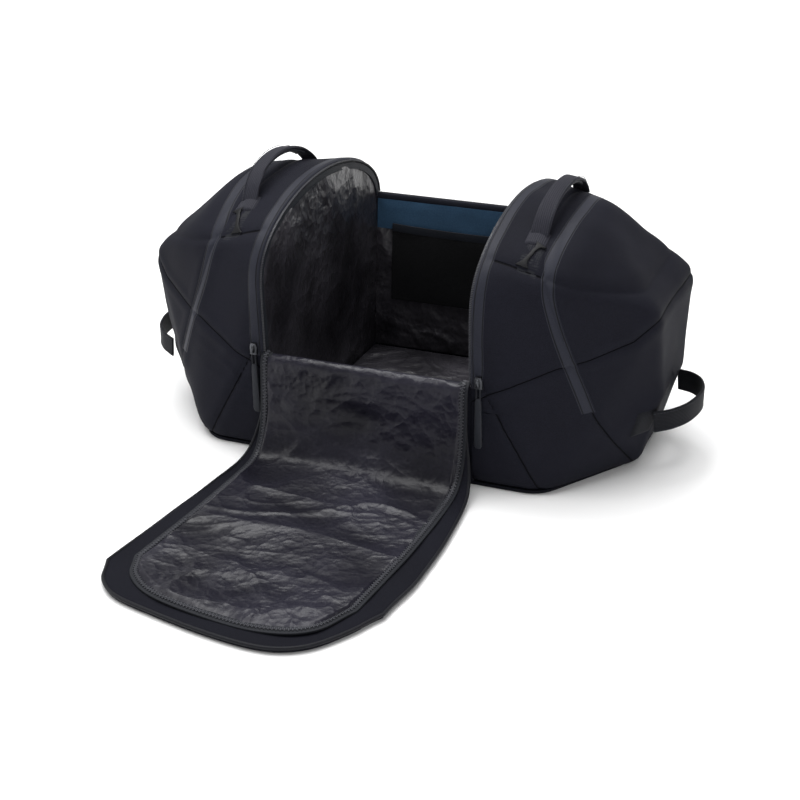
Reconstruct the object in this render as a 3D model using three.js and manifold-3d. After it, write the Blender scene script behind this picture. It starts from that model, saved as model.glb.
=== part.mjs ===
// A soft snowboard and boot bag: a main compartment between two zipped end pockets, with its long
// front cover folded open onto the ground.
// Millimetres. +X runs along the bag's length, +Y from the front to the back, +Z is up.
// The origin is at the middle of the bag's bottom, on the surface that it stands on.
import * as THREE from "three";
import { ConvexGeometry } from "three/addons/geometries/ConvexGeometry.js";
import { mergeVertices } from "three/addons/utils/BufferGeometryUtils.js";
import Module from "manifold-3d";

// Driving dimensions
const MAIN_HALF = 137; // half of the main compartment's length
const DEPTH_HALF = 193.5; // widest half depth of the bag
const BASE_HALF = 181; // half depth at the bottom
const CROWN_Z = 236; // height where the side walls turn into the arch
const TOP_Z = 320; // top of the arch
const ARCH_POWER = 1.9; // 2 is an ellipse, more is squarer
const SHOULDER = { x: 238, front: 155, back: 85, top: 312, crown: 240 }; // second arch, fuller in front
const RIDGE = { x: 333, half: 92, z: 214 }; // ends of the fold across each end face
const BELLY = { x: 335, half: 60, z: 100 }; // the end face bulges a little below that fold
const FRONT_CORNER_X = 224; // where the bottom's front edge turns to the end
const END_CORNER = { x: 306, half: 50 }; // the bottom's short end edge
const FOLD_Z = 132; // height of the front wall, where the cover folds
const WALL = 4; // foam-backed fabric
const THIN = 2; // lining and mesh
const GAP = 0.4; // between pieces that are sewn together
const TAPE = { width: 11, proud: 1 }; // storm strip beside the main zip
const POCKET_ZIP = { half: 6, foot: 105 }; // half width, and the height where it ends on each side
const COVER = { thick: 6, neck: 134, hip: 158, wide: 166, corner: 193.5 };
const COVER_CUTS = [293.5, 508.5, 605.5]; // distance of each cover panel's far edge from the middle
const COVER_TIP = 74; // half of the straight far edge
const FOLD_AXIS_Y = -191.5; // the cover folds just in front of the front wall's top edge
const HANDLE = { x: 188, wide: 22, thick: 4, front: 107, back: 79 };
const END_HANDLE = { z: 70, tall: 30, thick: 4, foot: 71, reach: 378 };
const CURVE_STEPS = 14;

const wasm = await Module();
wasm.setup();

const FABRIC = { color: 0x23232a, roughness: 0.85, metalness: 0 };
const BAND = { color: 0x323840, roughness: 0.7, metalness: 0 };
const LINING = { color: 0x101014, roughness: 0.3, metalness: 0 };
const BLUE = { color: 0x2d556e, roughness: 0.75, metalness: 0 };
const MESH = { color: 0x0b0b0d, roughness: 0.9, metalness: 0 };
const BOARD = { color: 0x2a2a2c, roughness: 0.6, metalness: 0 };
const METAL = { color: 0x3a3c40, roughness: 0.35, metalness: 0.9 };
const GRIP = { color: 0x1a1c20, roughness: 0.55, metalness: 0 };

// A three.js geometry as a manifold solid.
function solid(geometry) {
  const bare = new THREE.BufferGeometry().setAttribute("position", geometry.getAttribute("position").clone());
  if (geometry.index) bare.setIndex(geometry.index.clone());
  const merged = mergeVertices(bare, 1e-3);
  return new wasm.Manifold(
    new wasm.Mesh({
      numProp: 3,
      vertProperties: merged.attributes.position.array,
      triVerts: new Uint32Array(merged.index.array),
    }),
  );
}

// A manifold solid as a three.js geometry.
function geometryOf(body) {
  const mesh = body.getMesh();
  const geometry = new THREE.BufferGeometry();
  geometry.setAttribute("position", new THREE.BufferAttribute(mesh.vertProperties, 3));
  geometry.setIndex(new THREE.BufferAttribute(mesh.triVerts, 1));
  return geometry;
}

function box(low, high) {
  const size = high.map((value, i) => value - low[i]);
  const middle = high.map((value, i) => (value + low[i]) / 2);
  return new THREE.BoxGeometry(...size).translate(...middle);
}

// A flat outline of [first, second] points pushed along an axis: the outline lies in YZ for "x",
// in XZ for "y" and in XY for "z".
function slab(outline, axis, from, to) {
  const shape = new THREE.Shape(outline.map(([u, v]) => new THREE.Vector2(u, v)));
  const body = new THREE.ExtrudeGeometry(shape, { depth: to - from, bevelEnabled: false });
  body.translate(0, 0, from);
  const turn = {
    x: new THREE.Matrix4().set(0, 0, 1, 0, 1, 0, 0, 0, 0, 1, 0, 0, 0, 0, 0, 1),
    y: new THREE.Matrix4().set(1, 0, 0, 0, 0, 0, -1, 0, 0, 1, 0, 0, 0, 0, 0, 1),
    z: new THREE.Matrix4(),
  }[axis];
  return body.applyMatrix4(turn);
}

// A flat strap swept along points, wide across the path and thin along its normal.
// The path lies in a plane whose normal is `across`.
function strap(points, across, wide, thick, steps = CURVE_STEPS) {
  const curve = new THREE.CatmullRomCurve3(points, false, "centripetal");
  const rows = curve.getSpacedPoints(steps);
  const position = [];
  rows.forEach((point, i) => {
    const before = rows[Math.max(i - 1, 0)];
    const after = rows[Math.min(i + 1, steps)];
    const along = after.clone().sub(before).normalize();
    const up = across.clone().cross(along).normalize();
    for (const [w, t] of [[-1, -1], [1, -1], [1, 1], [-1, 1]])
      position.push(
        ...point.clone().addScaledVector(across, (w * wide) / 2).addScaledVector(up, (t * thick) / 2),
      );
  });
  const index = [0, 1, 2, 0, 2, 3];
  for (let i = 0; i < steps; i++)
    for (let k = 0; k < 4; k++) {
      const a = 4 * i + k;
      const b = 4 * i + ((k + 1) % 4);
      index.push(a, b + 4, b, a, a + 4, b + 4);
    }
  const last = 4 * steps;
  index.push(last, last + 2, last + 1, last, last + 3, last + 2);
  const geometry = new THREE.BufferGeometry();
  geometry.setAttribute("position", new THREE.Float32BufferAttribute(position, 3));
  geometry.setIndex(index);
  return solid(geometry).volume() > 0 ? geometry : flipped(geometry);
}

function flipped(geometry) {
  const index = geometry.index.array;
  for (let i = 0; i < index.length; i += 3) [index[i + 1], index[i + 2]] = [index[i + 2], index[i + 1]];
  return geometry;
}

// Points of one arch across the bag, from the front to the back.
function arch(x, front, back, top, crown, steps = 20) {
  return Array.from({ length: steps + 1 }, (_, i) => {
    const turn = (Math.PI * i) / steps;
    const side = Math.sign(Math.cos(turn)) * Math.abs(Math.cos(turn)) ** (2 / ARCH_POWER);
    const rise = Math.sin(turn) ** (2 / ARCH_POWER);
    const half = side > 0 ? front : back;
    return new THREE.Vector3(x, -half * side, crown + (top - crown) * rise);
  });
}

// Half depth of the bag at a height: the walls lean out from the bottom to the foot of the arch.
function frontAt(z) {
  return BASE_HALF + Math.min(z / CROWN_Z, 1) * (DEPTH_HALF - BASE_HALF);
}

// The right end pocket's outer form, grown or shrunk by a wall's thickness.
function pocketForm(grow, fromX) {
  const points = [
    ...arch(fromX, DEPTH_HALF + grow, DEPTH_HALF + grow, TOP_Z + grow, CROWN_Z),
    ...arch(SHOULDER.x + grow / 2, SHOULDER.front + grow, SHOULDER.back + grow, SHOULDER.top + grow, SHOULDER.crown),
  ];
  for (const side of [-1, 1]) {
    points.push(new THREE.Vector3(fromX, side * (BASE_HALF + grow), -grow));
    points.push(new THREE.Vector3(FRONT_CORNER_X + grow / 2, side * (BASE_HALF + grow), -grow));
    points.push(new THREE.Vector3(END_CORNER.x + grow, side * (END_CORNER.half + grow / 2), -grow));
    points.push(new THREE.Vector3(BELLY.x + grow, side * (BELLY.half + grow / 2), BELLY.z));
    points.push(new THREE.Vector3(RIDGE.x + grow, side * (RIDGE.half + grow / 2), RIDGE.z));
  }
  return solid(new ConvexGeometry(points));
}

// How far from the middle the pocket's zip runs at each height, as a smooth curve.
const zipCurve = new THREE.SplineCurve(
  [[224, 335], [213, 290], [212, 262], [222, 226], [243, 168], [267, POCKET_ZIP.foot]].map(
    ([x, z]) => new THREE.Vector2(x, z),
  ),
);

// Everything outside the pocket's zip line, moved by an offset and pushed through the bag's depth.
function beyondZip(offset, foot) {
  const line = zipCurve.getPoints(CURVE_STEPS).map((point) => [point.x + offset, Math.max(point.y, foot)]);
  const around = [[400, foot], [400, 340], [line[0][0], 340], ...line];
  return solid(slab(around, "y", -250, 250));
}

// Right-hand pieces of one end pocket, as manifold solids.
function pocketPieces() {
  const outer = pocketForm(0, MAIN_HALF);
  const inner = pocketForm(-WALL, MAIN_HALF - 5);
  const above = solid(box([100, -300, WALL + GAP], [400, 300, 400]));
  const dividerEdge = MAIN_HALF + 3;
  const wallZone = solid(box([dividerEdge + GAP, -300, WALL + GAP], [400, 300, 400]));
  const wall = outer.subtract(inner).intersect(wallZone);
  const tapeZone = solid(box([dividerEdge + GAP, -300, FOLD_Z], [dividerEdge + GAP + TAPE.width, 300, 400]));
  const tapeGap = solid(box([dividerEdge - 1, -300, FOLD_Z - GAP], [dividerEdge + 2 * GAP + TAPE.width, 300, 400]));
  const doorZone = beyondZip(GAP, POCKET_ZIP.foot + GAP);
  const zipZone = beyondZip(-2 * POCKET_ZIP.half, POCKET_ZIP.foot - GAP);
  const bandZone = beyondZip(-2 * POCKET_ZIP.half + GAP, POCKET_ZIP.foot).subtract(
    beyondZip(0, POCKET_ZIP.foot - 5),
  );
  const divider = outer.intersect(above).intersect(solid(box([MAIN_HALF, -300, 0], [dividerEdge, 300, 400])));
  return {
    pocket_divider: [divider, LINING],
    pocket_shell: [wall.subtract(tapeGap).subtract(zipZone), FABRIC],
    pocket_zip_band: [wall.intersect(bandZone), BAND],
    pocket_door: [wall.intersect(doorZone), FABRIC],
    main_zip_tape: [pocketForm(TAPE.proud, MAIN_HALF).subtract(inner).intersect(tapeZone), BAND],
  };
}

const bag = new THREE.Group();

function add(name, geometry, look) {
  const mesh = new THREE.Mesh(geometry, new THREE.MeshStandardMaterial(look));
  mesh.name = name;
  bag.add(mesh);
}

// Adds a right-hand piece and its mirrored left-hand twin.
function addPair(name, geometry, look) {
  add("right_" + name, geometry, look);
  const left = geometry.clone();
  if (!left.index) left.setIndex([...Array(left.attributes.position.count).keys()]);
  left.scale(-1, 1, 1);
  add("left_" + name, flipped(left), look);
}

function addPockets() {
  for (const [name, [body, look]] of Object.entries(pocketPieces())) addPair(name, geometryOf(body), look);
}

// The bottom: a six-sided outer panel, a stiff board on it, and the lining over the board.
function addBottom() {
  const plan = [];
  for (const [sx, sy] of [[1, -1], [1, 1], [-1, 1], [-1, -1]]) {
    const corners = [[sx * FRONT_CORNER_X, sy * BASE_HALF], [sx * END_CORNER.x, sy * END_CORNER.half]];
    plan.push(...(sx * sy > 0 ? corners.reverse() : corners));
  }
  add("base_panel", slab(plan, "z", 0, WALL), FABRIC);
  const half = MAIN_HALF - 3;
  add("base_board", box([-half, -170, WALL + GAP], [half, 170, WALL + GAP + 3]), BOARD);
  add("floor_lining", box([-half, -172, WALL + 2 * GAP + 3], [half, 172, WALL + 2 * GAP + 3 + THIN]), LINING);
}

// The low front wall, and the tall back wall with its binding, blue lining and mesh pocket.
function addWalls() {
  const half = MAIN_HALF - GAP;
  const low = WALL + GAP;
  const back = (z, depth) => [frontAt(z) - depth, z];
  const front = [back(low, 0), back(low, WALL), back(FOLD_Z, WALL), back(FOLD_Z, 0)];
  add("front_wall", slab(front.map(([y, z]) => [-y, z]), "x", -half, half), FABRIC);
  const rim = CROWN_Z - 7;
  add("back_wall", slab([back(low, WALL), back(low, 0), back(rim, 0), back(rim, WALL)], "x", -half, half), FABRIC);
  const bind = [back(rim + GAP, WALL + 1), back(rim + GAP, -1), back(CROWN_Z, -1), back(CROWN_Z, WALL + 1)];
  add("back_zip_binding", slab(bind, "x", -half, half), BAND);
  const panel = (from, to, lift) => [
    back(from, WALL + GAP + lift + THIN), back(from, WALL + GAP + lift),
    back(to, WALL + GAP + lift), back(to, WALL + GAP + lift + THIN),
  ];
  const wide = half - 3;
  add("back_blue_lining", slab(panel(198, rim - 2, 0), "x", -wide, wide), BLUE);
  add("back_lining", slab(panel(FOLD_Z, 198 - GAP, 0), "x", -wide, wide), LINING);
  const net = panel(FOLD_Z + 2, 184, THIN + GAP);
  add("mesh_pocket", slab(net, "x", -110, 110), MESH);
  add("mesh_pocket_binding", slab(panel(184 + GAP, 196, THIN + GAP), "x", -110, 110), BAND);
}

// The front cover: one hanging panel at the fold, and three that lie on the ground.
function addCover() {
  const { thick, neck, hip, wide, corner } = COVER;
  const [first, second, last] = COVER_CUTS;
  const gap = 0.3;
  const sheet = 5;
  const hang = [
    [-corner + gap, gap], [-corner + gap + sheet, gap],
    [FOLD_AXIS_Y + sheet / 2, FOLD_Z - 1], [FOLD_AXIS_Y - sheet / 2, FOLD_Z - 1],
  ];
  add("cover_fold_panel", slab(hang, "x", -neck, neck), FABRIC);
  const near = -corner - gap;
  const lower = [[-neck, near], [-hip, -first + gap], [hip, -first + gap], [neck, near]];
  const wedge = [[near - thick * 0.86, -1], [near, thick], [near + 1, thick], [near + 1, -1]];
  const cut = solid(slab(lower, "z", 0, thick)).subtract(solid(slab(wedge, "x", -200, 200)));
  add("cover_lower_panel", geometryOf(cut), FABRIC);
  const middle = [[-hip, -first - gap], [-wide, -400], [-hip, -second + gap], [hip, -second + gap], [wide, -400],
    [hip, -first - gap]];
  add("cover_middle_panel", slab(middle, "z", 0, thick), FABRIC);
  const end = new THREE.Shape();
  end.moveTo(hip, -second - gap);
  end.lineTo(-hip, -second - gap);
  end.quadraticCurveTo(-hip + 12, -last + 6, -COVER_TIP, -last);
  end.lineTo(COVER_TIP, -last);
  end.quadraticCurveTo(hip - 12, -last + 6, hip, -second - gap);
  const tip = new THREE.ExtrudeGeometry(end, { depth: thick, bevelEnabled: false, curveSegments: 8 });
  add("cover_end_panel", tip, FABRIC);
}

// A strip of webbing sewn on a pocket's outside, between two corners of a box.
function sewnOn(low, high, thick = 3.5) {
  const layer = pocketForm(GAP + thick, MAIN_HALF).subtract(pocketForm(GAP, MAIN_HALF));
  return geometryOf(layer.intersect(solid(box(low, high))));
}

// A carry handle over each pocket's top, with a sewn foot at each end, and the lash patch in front.
function addTopHandles() {
  const across = new THREE.Vector3(1, 0, 0);
  const { x, wide, thick, front, back } = HANDLE;
  const path = [[-102, 309], [-92, 321], [-72, 333], [-45, 340], [-15, 342], [15, 339], [42, 331], [62, 320], [74, 311]];
  addPair("top_handle", strap(path.map(([y, z]) => new THREE.Vector3(x, y, z)), across, wide, thick, 18), BAND);
  const [from, to] = [x - wide / 2, x + wide / 2];
  addPair("top_handle_foot_front", sewnOn([from, -front - 29, 200], [to, -front, 400]), BAND);
  addPair("top_handle_foot_back", sewnOn([from, back, 200], [to, back + 29, 400]), BAND);
  addPair("lash_patch", sewnOn([176, -160, 200], [200, -front - 31, 400]), BAND);
}

// A webbing handle round each end, below the pocket's hinge, with its two sewn feet and a stud.
function addEndHandles() {
  const across = new THREE.Vector3(0, 0, 1);
  const { z, tall, thick, foot, reach } = END_HANDLE;
  const path = [[336, -foot + 2], [352, -58], [368, -36], [reach - 2, 0], [368, 36], [352, 58], [336, foot - 2]];
  addPair("end_handle", strap(path.map(([x, y]) => new THREE.Vector3(x, y, z)), across, tall, thick, 16), BAND);
  const [from, to] = [z - tall / 2, z + tall / 2];
  addPair("end_handle_foot_front", sewnOn([290, -foot - 12, from], [400, -foot + 10, to]), BAND);
  addPair("end_handle_foot_back", sewnOn([290, foot - 10, from], [400, foot + 12, to]), BAND);
  const stud = new THREE.CylinderGeometry(6, 6, 12, 16).rotateZ(Math.PI / 2).translate(319, -34, 30);
  addPair("end_stud", geometryOf(solid(stud).subtract(pocketForm(GAP, MAIN_HALF))), METAL);
}

// Sliders: two on the main zip's front ends, and one parked at the back foot of each pocket zip.
function addSliders() {
  const face = (z, off) => [-frontAt(z) - TAPE.proud - off, z];
  const main = [face(134, 1), face(134, 8), face(152, 6), face(152, 1)];
  addPair("main_slider", slab(main, "x", 141, 151), METAL);
  const pull = [face(131.5, 2), face(131.5, 6), face(56, 5), face(56, 1)];
  addPair("main_puller", slab(pull, "x", 141, 151), GRIP);
  const track = new THREE.Vector3(-17, 4.2, 48).normalize();
  const outward = new THREE.Vector3(0.82, 0.52, 0.24).normalize();
  const side = new THREE.Vector3().crossVectors(outward, track).normalize();
  const level = new THREE.Matrix4().makeBasis(side, outward, track);
  const parked = new THREE.BoxGeometry(10, 5, 16).applyMatrix4(level).translate(276.2, 144.6, 97.3);
  addPair("pocket_slider", parked, METAL);
  const tab = new THREE.BoxGeometry(8, 3, 36).rotateZ(-1.01).translate(278.8, 148.4, 68);
  addPair("pocket_puller", tab, GRIP);
}

addBottom();
addWalls();
addPockets();
addCover();
addTopHandles();
addEndHandles();
addSliders();

export default bag;
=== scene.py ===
# %% [markdown]
# # A snowboard bag, open
# A soft travel bag stands open: two end pockets, a main compartment between them, and a long front
# cover folded down onto the ground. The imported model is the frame: it says where each piece is and
# how it moves. Everything here is the cloth, zips and webbing that is drawn around that frame.

# %% Load the frame
import math

import bmesh
import bpy
import numpy as np
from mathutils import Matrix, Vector
from mathutils.bvhtree import BVHTree


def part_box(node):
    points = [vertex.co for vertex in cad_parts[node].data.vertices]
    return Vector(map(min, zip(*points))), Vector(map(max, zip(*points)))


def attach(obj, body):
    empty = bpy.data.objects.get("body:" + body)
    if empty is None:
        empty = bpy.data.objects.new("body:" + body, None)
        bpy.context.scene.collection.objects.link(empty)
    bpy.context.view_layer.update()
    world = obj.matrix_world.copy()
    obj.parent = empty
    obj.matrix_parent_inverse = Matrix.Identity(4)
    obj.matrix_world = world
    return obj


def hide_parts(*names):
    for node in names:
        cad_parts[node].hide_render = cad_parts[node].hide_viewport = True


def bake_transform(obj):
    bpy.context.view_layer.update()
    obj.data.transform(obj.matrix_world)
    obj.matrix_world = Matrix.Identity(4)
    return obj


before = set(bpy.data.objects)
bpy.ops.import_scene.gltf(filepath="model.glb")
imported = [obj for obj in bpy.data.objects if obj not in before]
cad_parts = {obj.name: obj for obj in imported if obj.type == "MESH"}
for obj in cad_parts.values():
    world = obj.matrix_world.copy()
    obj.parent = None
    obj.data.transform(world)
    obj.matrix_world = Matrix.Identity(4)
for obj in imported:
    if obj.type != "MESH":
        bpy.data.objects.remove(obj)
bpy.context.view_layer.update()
MM = 0.001
SIDES = {"right": 1, "left": -1}

# %% [markdown]
# ## Sizes
# The frame's own boxes give the main places, so that cloth and solid parts can't drift apart. Only
# sizes that the solid parts don't have, such as a seam's width, are given here.

# %% Places that come from the frame
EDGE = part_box("right_pocket_divider")[0][0]
HINGE = 105 * MM
FOLD_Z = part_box("front_wall")[1][2]
RIM_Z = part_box("back_zip_binding")[1][2]
STRIP = 12 * MM
BAND_HALF = 7 * MM
CLOTH_THICK = 3 * MM
print("pocket edge at", round(EDGE, 4), "fold at", round(FOLD_Z, 4))

# %% [markdown]
# ## Shader maths as Python
# A material is a small program of nodes. Wrapping a socket in a class with operators lets that
# program be read as a formula, and one method makes any other node.


# %% A socket that can be added and multiplied
class Flow:
    def __init__(self, tree, socket):
        self.tree = tree
        self.socket = socket

    def maths(self, operation, *values):
        return self.node("ShaderNodeMath", {"operation": operation}, *values)

    def node(self, kind, settings, *values, out=0, **named):
        made = self.tree.nodes.new(kind)
        for key, value in settings.items():
            setattr(made, key, value)
        pairs = list(enumerate(values)) + list(named.items())
        for key, value in pairs:
            target = made.inputs[key.replace("_", " ") if isinstance(key, str) else key]
            if isinstance(value, Flow):
                self.tree.links.new(value.socket, target)
            elif value is not None:
                target.default_value = value
        return Flow(self.tree, made.outputs[out])

    def __add__(self, other):
        return self.maths("ADD", self, other)

    def __sub__(self, other):
        return self.maths("SUBTRACT", self, other)

    def __rsub__(self, other):
        return self.maths("SUBTRACT", other, self)

    def __mul__(self, other):
        return self.maths("MULTIPLY", self, other)

    def size(self):
        return self.maths("ABSOLUTE", self)

    def sine(self):
        return self.maths("SINE", self)

    def step(self, low, high):
        ranged = {"interpolation_type": "SMOOTHSTEP"}
        return self.node("ShaderNodeMapRange", ranged, self, low, high, 0.0, 1.0)

    def noise(self, scale, detail=2.0, rough=0.5):
        return self.node("ShaderNodeTexNoise", {}, self, None, scale, detail, rough)

    def cells(self, scale):
        return self.node("ShaderNodeTexVoronoi", {}, Vector=self, Scale=scale)

    def pushed(self, scale, far):
        """The same place, moved about by a noise."""
        push = self.node("ShaderNodeTexNoise", {}, self, None, scale, 2.0, out=1)
        return self.node("ShaderNodeVectorMath", {"operation": "MULTIPLY_ADD"}, push, (far, far, far), self)

    def stretch(self, scale):
        return self.node("ShaderNodeMapping", {}, self, Scale=scale)

    def mix(self, low, high):
        blended = {"data_type": "RGBA"}
        made = self.node("ShaderNodeMix", blended, out=2)
        node = made.socket.node
        self.tree.links.new(self.socket, node.inputs["Factor"])
        for socket, value in ((node.inputs[6], low), (node.inputs[7], high)):
            if isinstance(value, Flow):
                self.tree.links.new(value.socket, socket)
            else:
                socket.default_value = (*value, 1)
        return made

    def bump(self, height, strength=1.0, under=None):
        made = self.node("ShaderNodeBump", {}, Strength=strength, Distance=height, Height=self)
        if under is not None:
            self.tree.links.new(under.socket, made.socket.node.inputs["Normal"])
        return made


# %% Start a material
def material(name, colour, rough, metal=0.0, sheen=0.0, specular=0.5):
    made = bpy.data.materials.new(name)
    made.use_nodes = True
    shader = made.node_tree.nodes["Principled BSDF"]
    values = {
        "Base Color": (*colour, 1),
        "Roughness": rough,
        "Metallic": metal,
        "Sheen Weight": sheen,
        "Sheen Roughness": 0.6,
        "Specular IOR Level": specular,
    }
    for key, value in values.items():
        shader.inputs[key].default_value = value
    made.diffuse_color = (*colour, 1)
    return made, shader


def object_space(made):
    node = made.node_tree.nodes.new("ShaderNodeTexCoord")
    return Flow(made.node_tree, node.outputs["Object"])


def from_attribute(made, name):
    node = made.node_tree.nodes.new("ShaderNodeAttribute")
    node.attribute_name = name
    return Flow(made.node_tree, node.outputs["Fac"])


def feed(made, shader, **inputs):
    for key, flow in inputs.items():
        made.node_tree.links.new(flow.socket, shader.inputs[key.replace("_", " ")])
    return made


# %% [markdown]
# ## Cloths
# The outside is a dense plain weave with a dull water-repellent finish: nearly black, a little blue,
# and lighter where the thread ends catch light. Its weave is finer than a millimetre, so it shows as
# grain. A seam is drawn where one of two attributes, `seam` and `other_seam`, passes through zero: they
# hold the distance to a seam line, positive on one side of it and negative on the other.

# %% Outer fabric
NAVY = (0.0058, 0.0060, 0.0096)
NAVY_LIGHT = (0.0135, 0.0140, 0.0215)
# A darker copy of the outer fabric for the cover and the bottom panel: painted shade on the low parts by the
# floor, since the cloth is the same.
SHADED_NAVY, SHADED_NAVY_LIGHT = (tuple(c * 0.75 for c in colour) for colour in (NAVY, NAVY_LIGHT))
THREAD = 7000.0


def outer_fabric(name="outer_fabric", dark=NAVY, light=NAVY_LIGHT, seams=True):
    made, shader = material(name, dark, 0.72, specular=0.07)
    place = object_space(made)
    split = place.node("ShaderNodeSeparateXYZ", {}, place)
    axes = [Flow(made.node_tree, split.socket.node.outputs[i]) for i in range(3)]
    warp = ((axes[0] + axes[1] * 0.9) * THREAD).sine()
    weft = ((axes[2] + axes[1] * 0.35) * THREAD).sine()
    weave = warp * weft
    grain = place.noise(900.0, 2.0)
    blotch = place.noise(9.0, 3.0)
    tone = (grain * 0.7 + blotch * 0.55 - 0.12).step(0.1, 1.0)
    colour = tone.mix(dark, light)
    height = weave * 0.35 + grain * 0.8
    relief = height.bump(0.00035, 0.55)
    if seams:
        one, other = (from_attribute(made, name).size() for name in ("seam", "other_seam"))
        gap = one.maths("MINIMUM", one, other)
        groove = gap.step(0.0003, 0.0017)
        colour = groove.mix(tuple(c * 0.3 for c in dark), colour)
        relief = groove.bump(0.0012, 0.9, relief)
    rough = blotch * 0.2 + 0.62
    return feed(made, shader, Base_Color=colour, Roughness=rough, Normal=relief)


# %% [markdown]
# The lining is a thin coated cloth. It stays crumpled, and every crease has a shiny side, so the
# folds matter more than the colour. Cells of three sizes, pushed about by a noise, meet in sharp
# creases, and a noise decides where the small ones are strong. The colour is lighter along the same
# creases: a painted highlight, with random tone from the noises on top.

# %% Coated lining
# The cover lining: near black, and its lighter colour, laid along the creases, is a painted highlight.
LINING = (0.0024, 0.0022, 0.0052)
LINING_HIGHLIGHT = (0.0140, 0.0132, 0.0225)
# The same lining inside the compartment, made lighter: painted light that makes up for the shade inside, with
# the painted crease highlight as well.
BRIGHTENED_INSIDE = (0.0070, 0.0064, 0.0085)
BRIGHTENED_INSIDE_LIGHT = (0.0420, 0.0395, 0.0480)


def coated_lining(name, stretch, dark=LINING, light=LINING_HIGHLIGHT, rough=0.37, shine=0.27):
    made, shader = material(name, dark, rough, specular=shine)
    place = object_space(made)
    pulled = place.stretch(stretch).pushed(11.0, 0.05)
    near = place.pushed(40.0, 0.012)
    patch = place.noise(7.0, 2.0).step(0.36, 0.66)
    small = near.cells(52.0) * (patch * 0.30 + 0.12)
    smallest = near.cells(130.0) * (patch * 0.08 + 0.05)
    folds = pulled.cells(17.0) + small + smallest
    fine = place.noise(300.0, 2.0)
    relief = fine.bump(0.0001, 0.2, folds.bump(0.0068, 1.0))
    # The colour follows the crease field: lighter along the creases, a painted highlight, plus random tone.
    tone = (folds * 0.5 + fine * 0.35 + patch * 0.25).step(0.15, 1.1)
    gloss = fine * 0.18 + (rough - 0.09) + patch * 0.06
    return feed(made, shader, Base_Color=tone.mix(dark, light), Roughness=gloss, Normal=relief)


# %% Zip bands, webbing, binding and small hardware
def banded(name, colour, rough, grain=700.0, depth=0.0002, edged=False):
    made, shader = material(name, colour, rough, sheen=0.02, specular=0.12)
    place = object_space(made)
    speck = place.noise(grain, 2.0)
    cloud = place.noise(26.0, 2.0)
    light = tuple(min(c * 1.55, 1) for c in colour)
    tone = (speck * 0.6 + cloud * 0.5).step(0.2, 1.0).mix(colour, light)
    relief = speck.bump(depth, 0.5)
    if edged:
        line = (from_attribute(made, "across").size() - 0.74).size().step(0.02, 0.075)
        tone = line.mix(tuple(c * 0.25 for c in colour), tone)
        relief = line.bump(0.0008, 0.8, relief)
    return feed(made, shader, Base_Color=tone, Roughness=cloud * 0.16 + (rough - 0.08), Normal=relief)


def webbing(name, colour, axis, pitch=1.9 * MM):
    made, shader = material(name, colour, 0.66, sheen=0.01, specular=0.12)
    place = object_space(made)
    split = place.node("ShaderNodeSeparateXYZ", {}, place)
    along = Flow(made.node_tree, split.socket.node.outputs[axis])
    rib = (along * (2 * math.pi / pitch)).sine() * 0.5 + 0.5
    speck = place.noise(800.0, 2.0)
    light = tuple(c * 1.7 for c in colour)
    tone = (rib * 0.55 + speck * 0.45).step(0.15, 1.0)
    relief = speck.bump(0.0002, 0.3, rib.bump(0.0005, 0.7))
    return feed(made, shader, Base_Color=tone.mix(colour, light), Normal=relief)


LOOK = {
    "outer": outer_fabric(),
    # The darker copy of the outer fabric: painted shade on the cover and the bottom panel.
    "outer_painted_shade": outer_fabric("fabric_painted_shade", SHADED_NAVY, SHADED_NAVY_LIGHT, seams=False),
    # The divider lining takes the lighter copy of the lining: painted light against the shade inside.
    "divider": coated_lining("divider_lining", (1.0, 1.0, 0.7), BRIGHTENED_INSIDE, BRIGHTENED_INSIDE_LIGHT, 0.36, 0.5),
    "cover_lining": coated_lining("cover_lining", (0.55, 1.0, 1.0)),
    "band": banded("zip_band", (0.0145, 0.0155, 0.0230), 0.55, edged=True),
    "band_plain": banded("rim_band", (0.0145, 0.0155, 0.0230), 0.55),
    "tape": banded("zip_tape", (0.010, 0.011, 0.014), 0.6),
    "net": banded("mesh_net", (0.006, 0.0062, 0.007), 0.7, 420.0, 0.0008),
    "piping": banded("edge_piping", (0.0065, 0.0068, 0.009), 0.5),
    # The wall and floor linings take the lighter copy of the lining: painted light against the shade inside.
    "wall_lining": coated_lining("wall_lining", (1.0, 1.0, 1.0), BRIGHTENED_INSIDE, BRIGHTENED_INSIDE_LIGHT, 0.36, 0.5),
    "binding": banded("edge_binding", (0.013, 0.015, 0.020), 0.6),
    "blue": banded("blue_lining", (0.027, 0.062, 0.112), 0.7, 500.0, 0.0004),
    "rubber": banded("puller_rubber", (0.016, 0.0175, 0.022), 0.48, 1200.0),
    "web_y": webbing("webbing_top", (0.0150, 0.0152, 0.0212), 0, 2.4 * MM),
    "web_z": webbing("webbing_end", (0.0062, 0.0066, 0.0088), 2),
    "patch": banded("patch_cloth", (0.0085, 0.0092, 0.0125), 0.62, 1400.0),
    # Near black: the lash loop, coloured as the shade under the loop, a painted shade.
    "loop_shade": banded("lash_loop_shade", (0.0030, 0.0032, 0.0042), 0.5, 900.0),
    "thread": banded("thread", (0.020, 0.022, 0.028), 0.6, 1500.0),
    "cord": banded("pull_cord", (0.010, 0.011, 0.014), 0.6, 1500.0, 0.0004),
    "board": banded("base_board", (0.014, 0.014, 0.015), 0.6, 300.0),
}


def metal(name, colour, rough):
    made, shader = material(name, colour, rough, metal=0.9)
    place = object_space(made)
    wear = place.noise(160.0, 3.0)
    light = tuple(min(c * 2.0, 1) for c in colour)
    tone = wear.step(0.35, 0.8).mix(colour, light)
    return feed(made, shader, Base_Color=tone, Roughness=wear * 0.3 + rough - 0.1)


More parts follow.
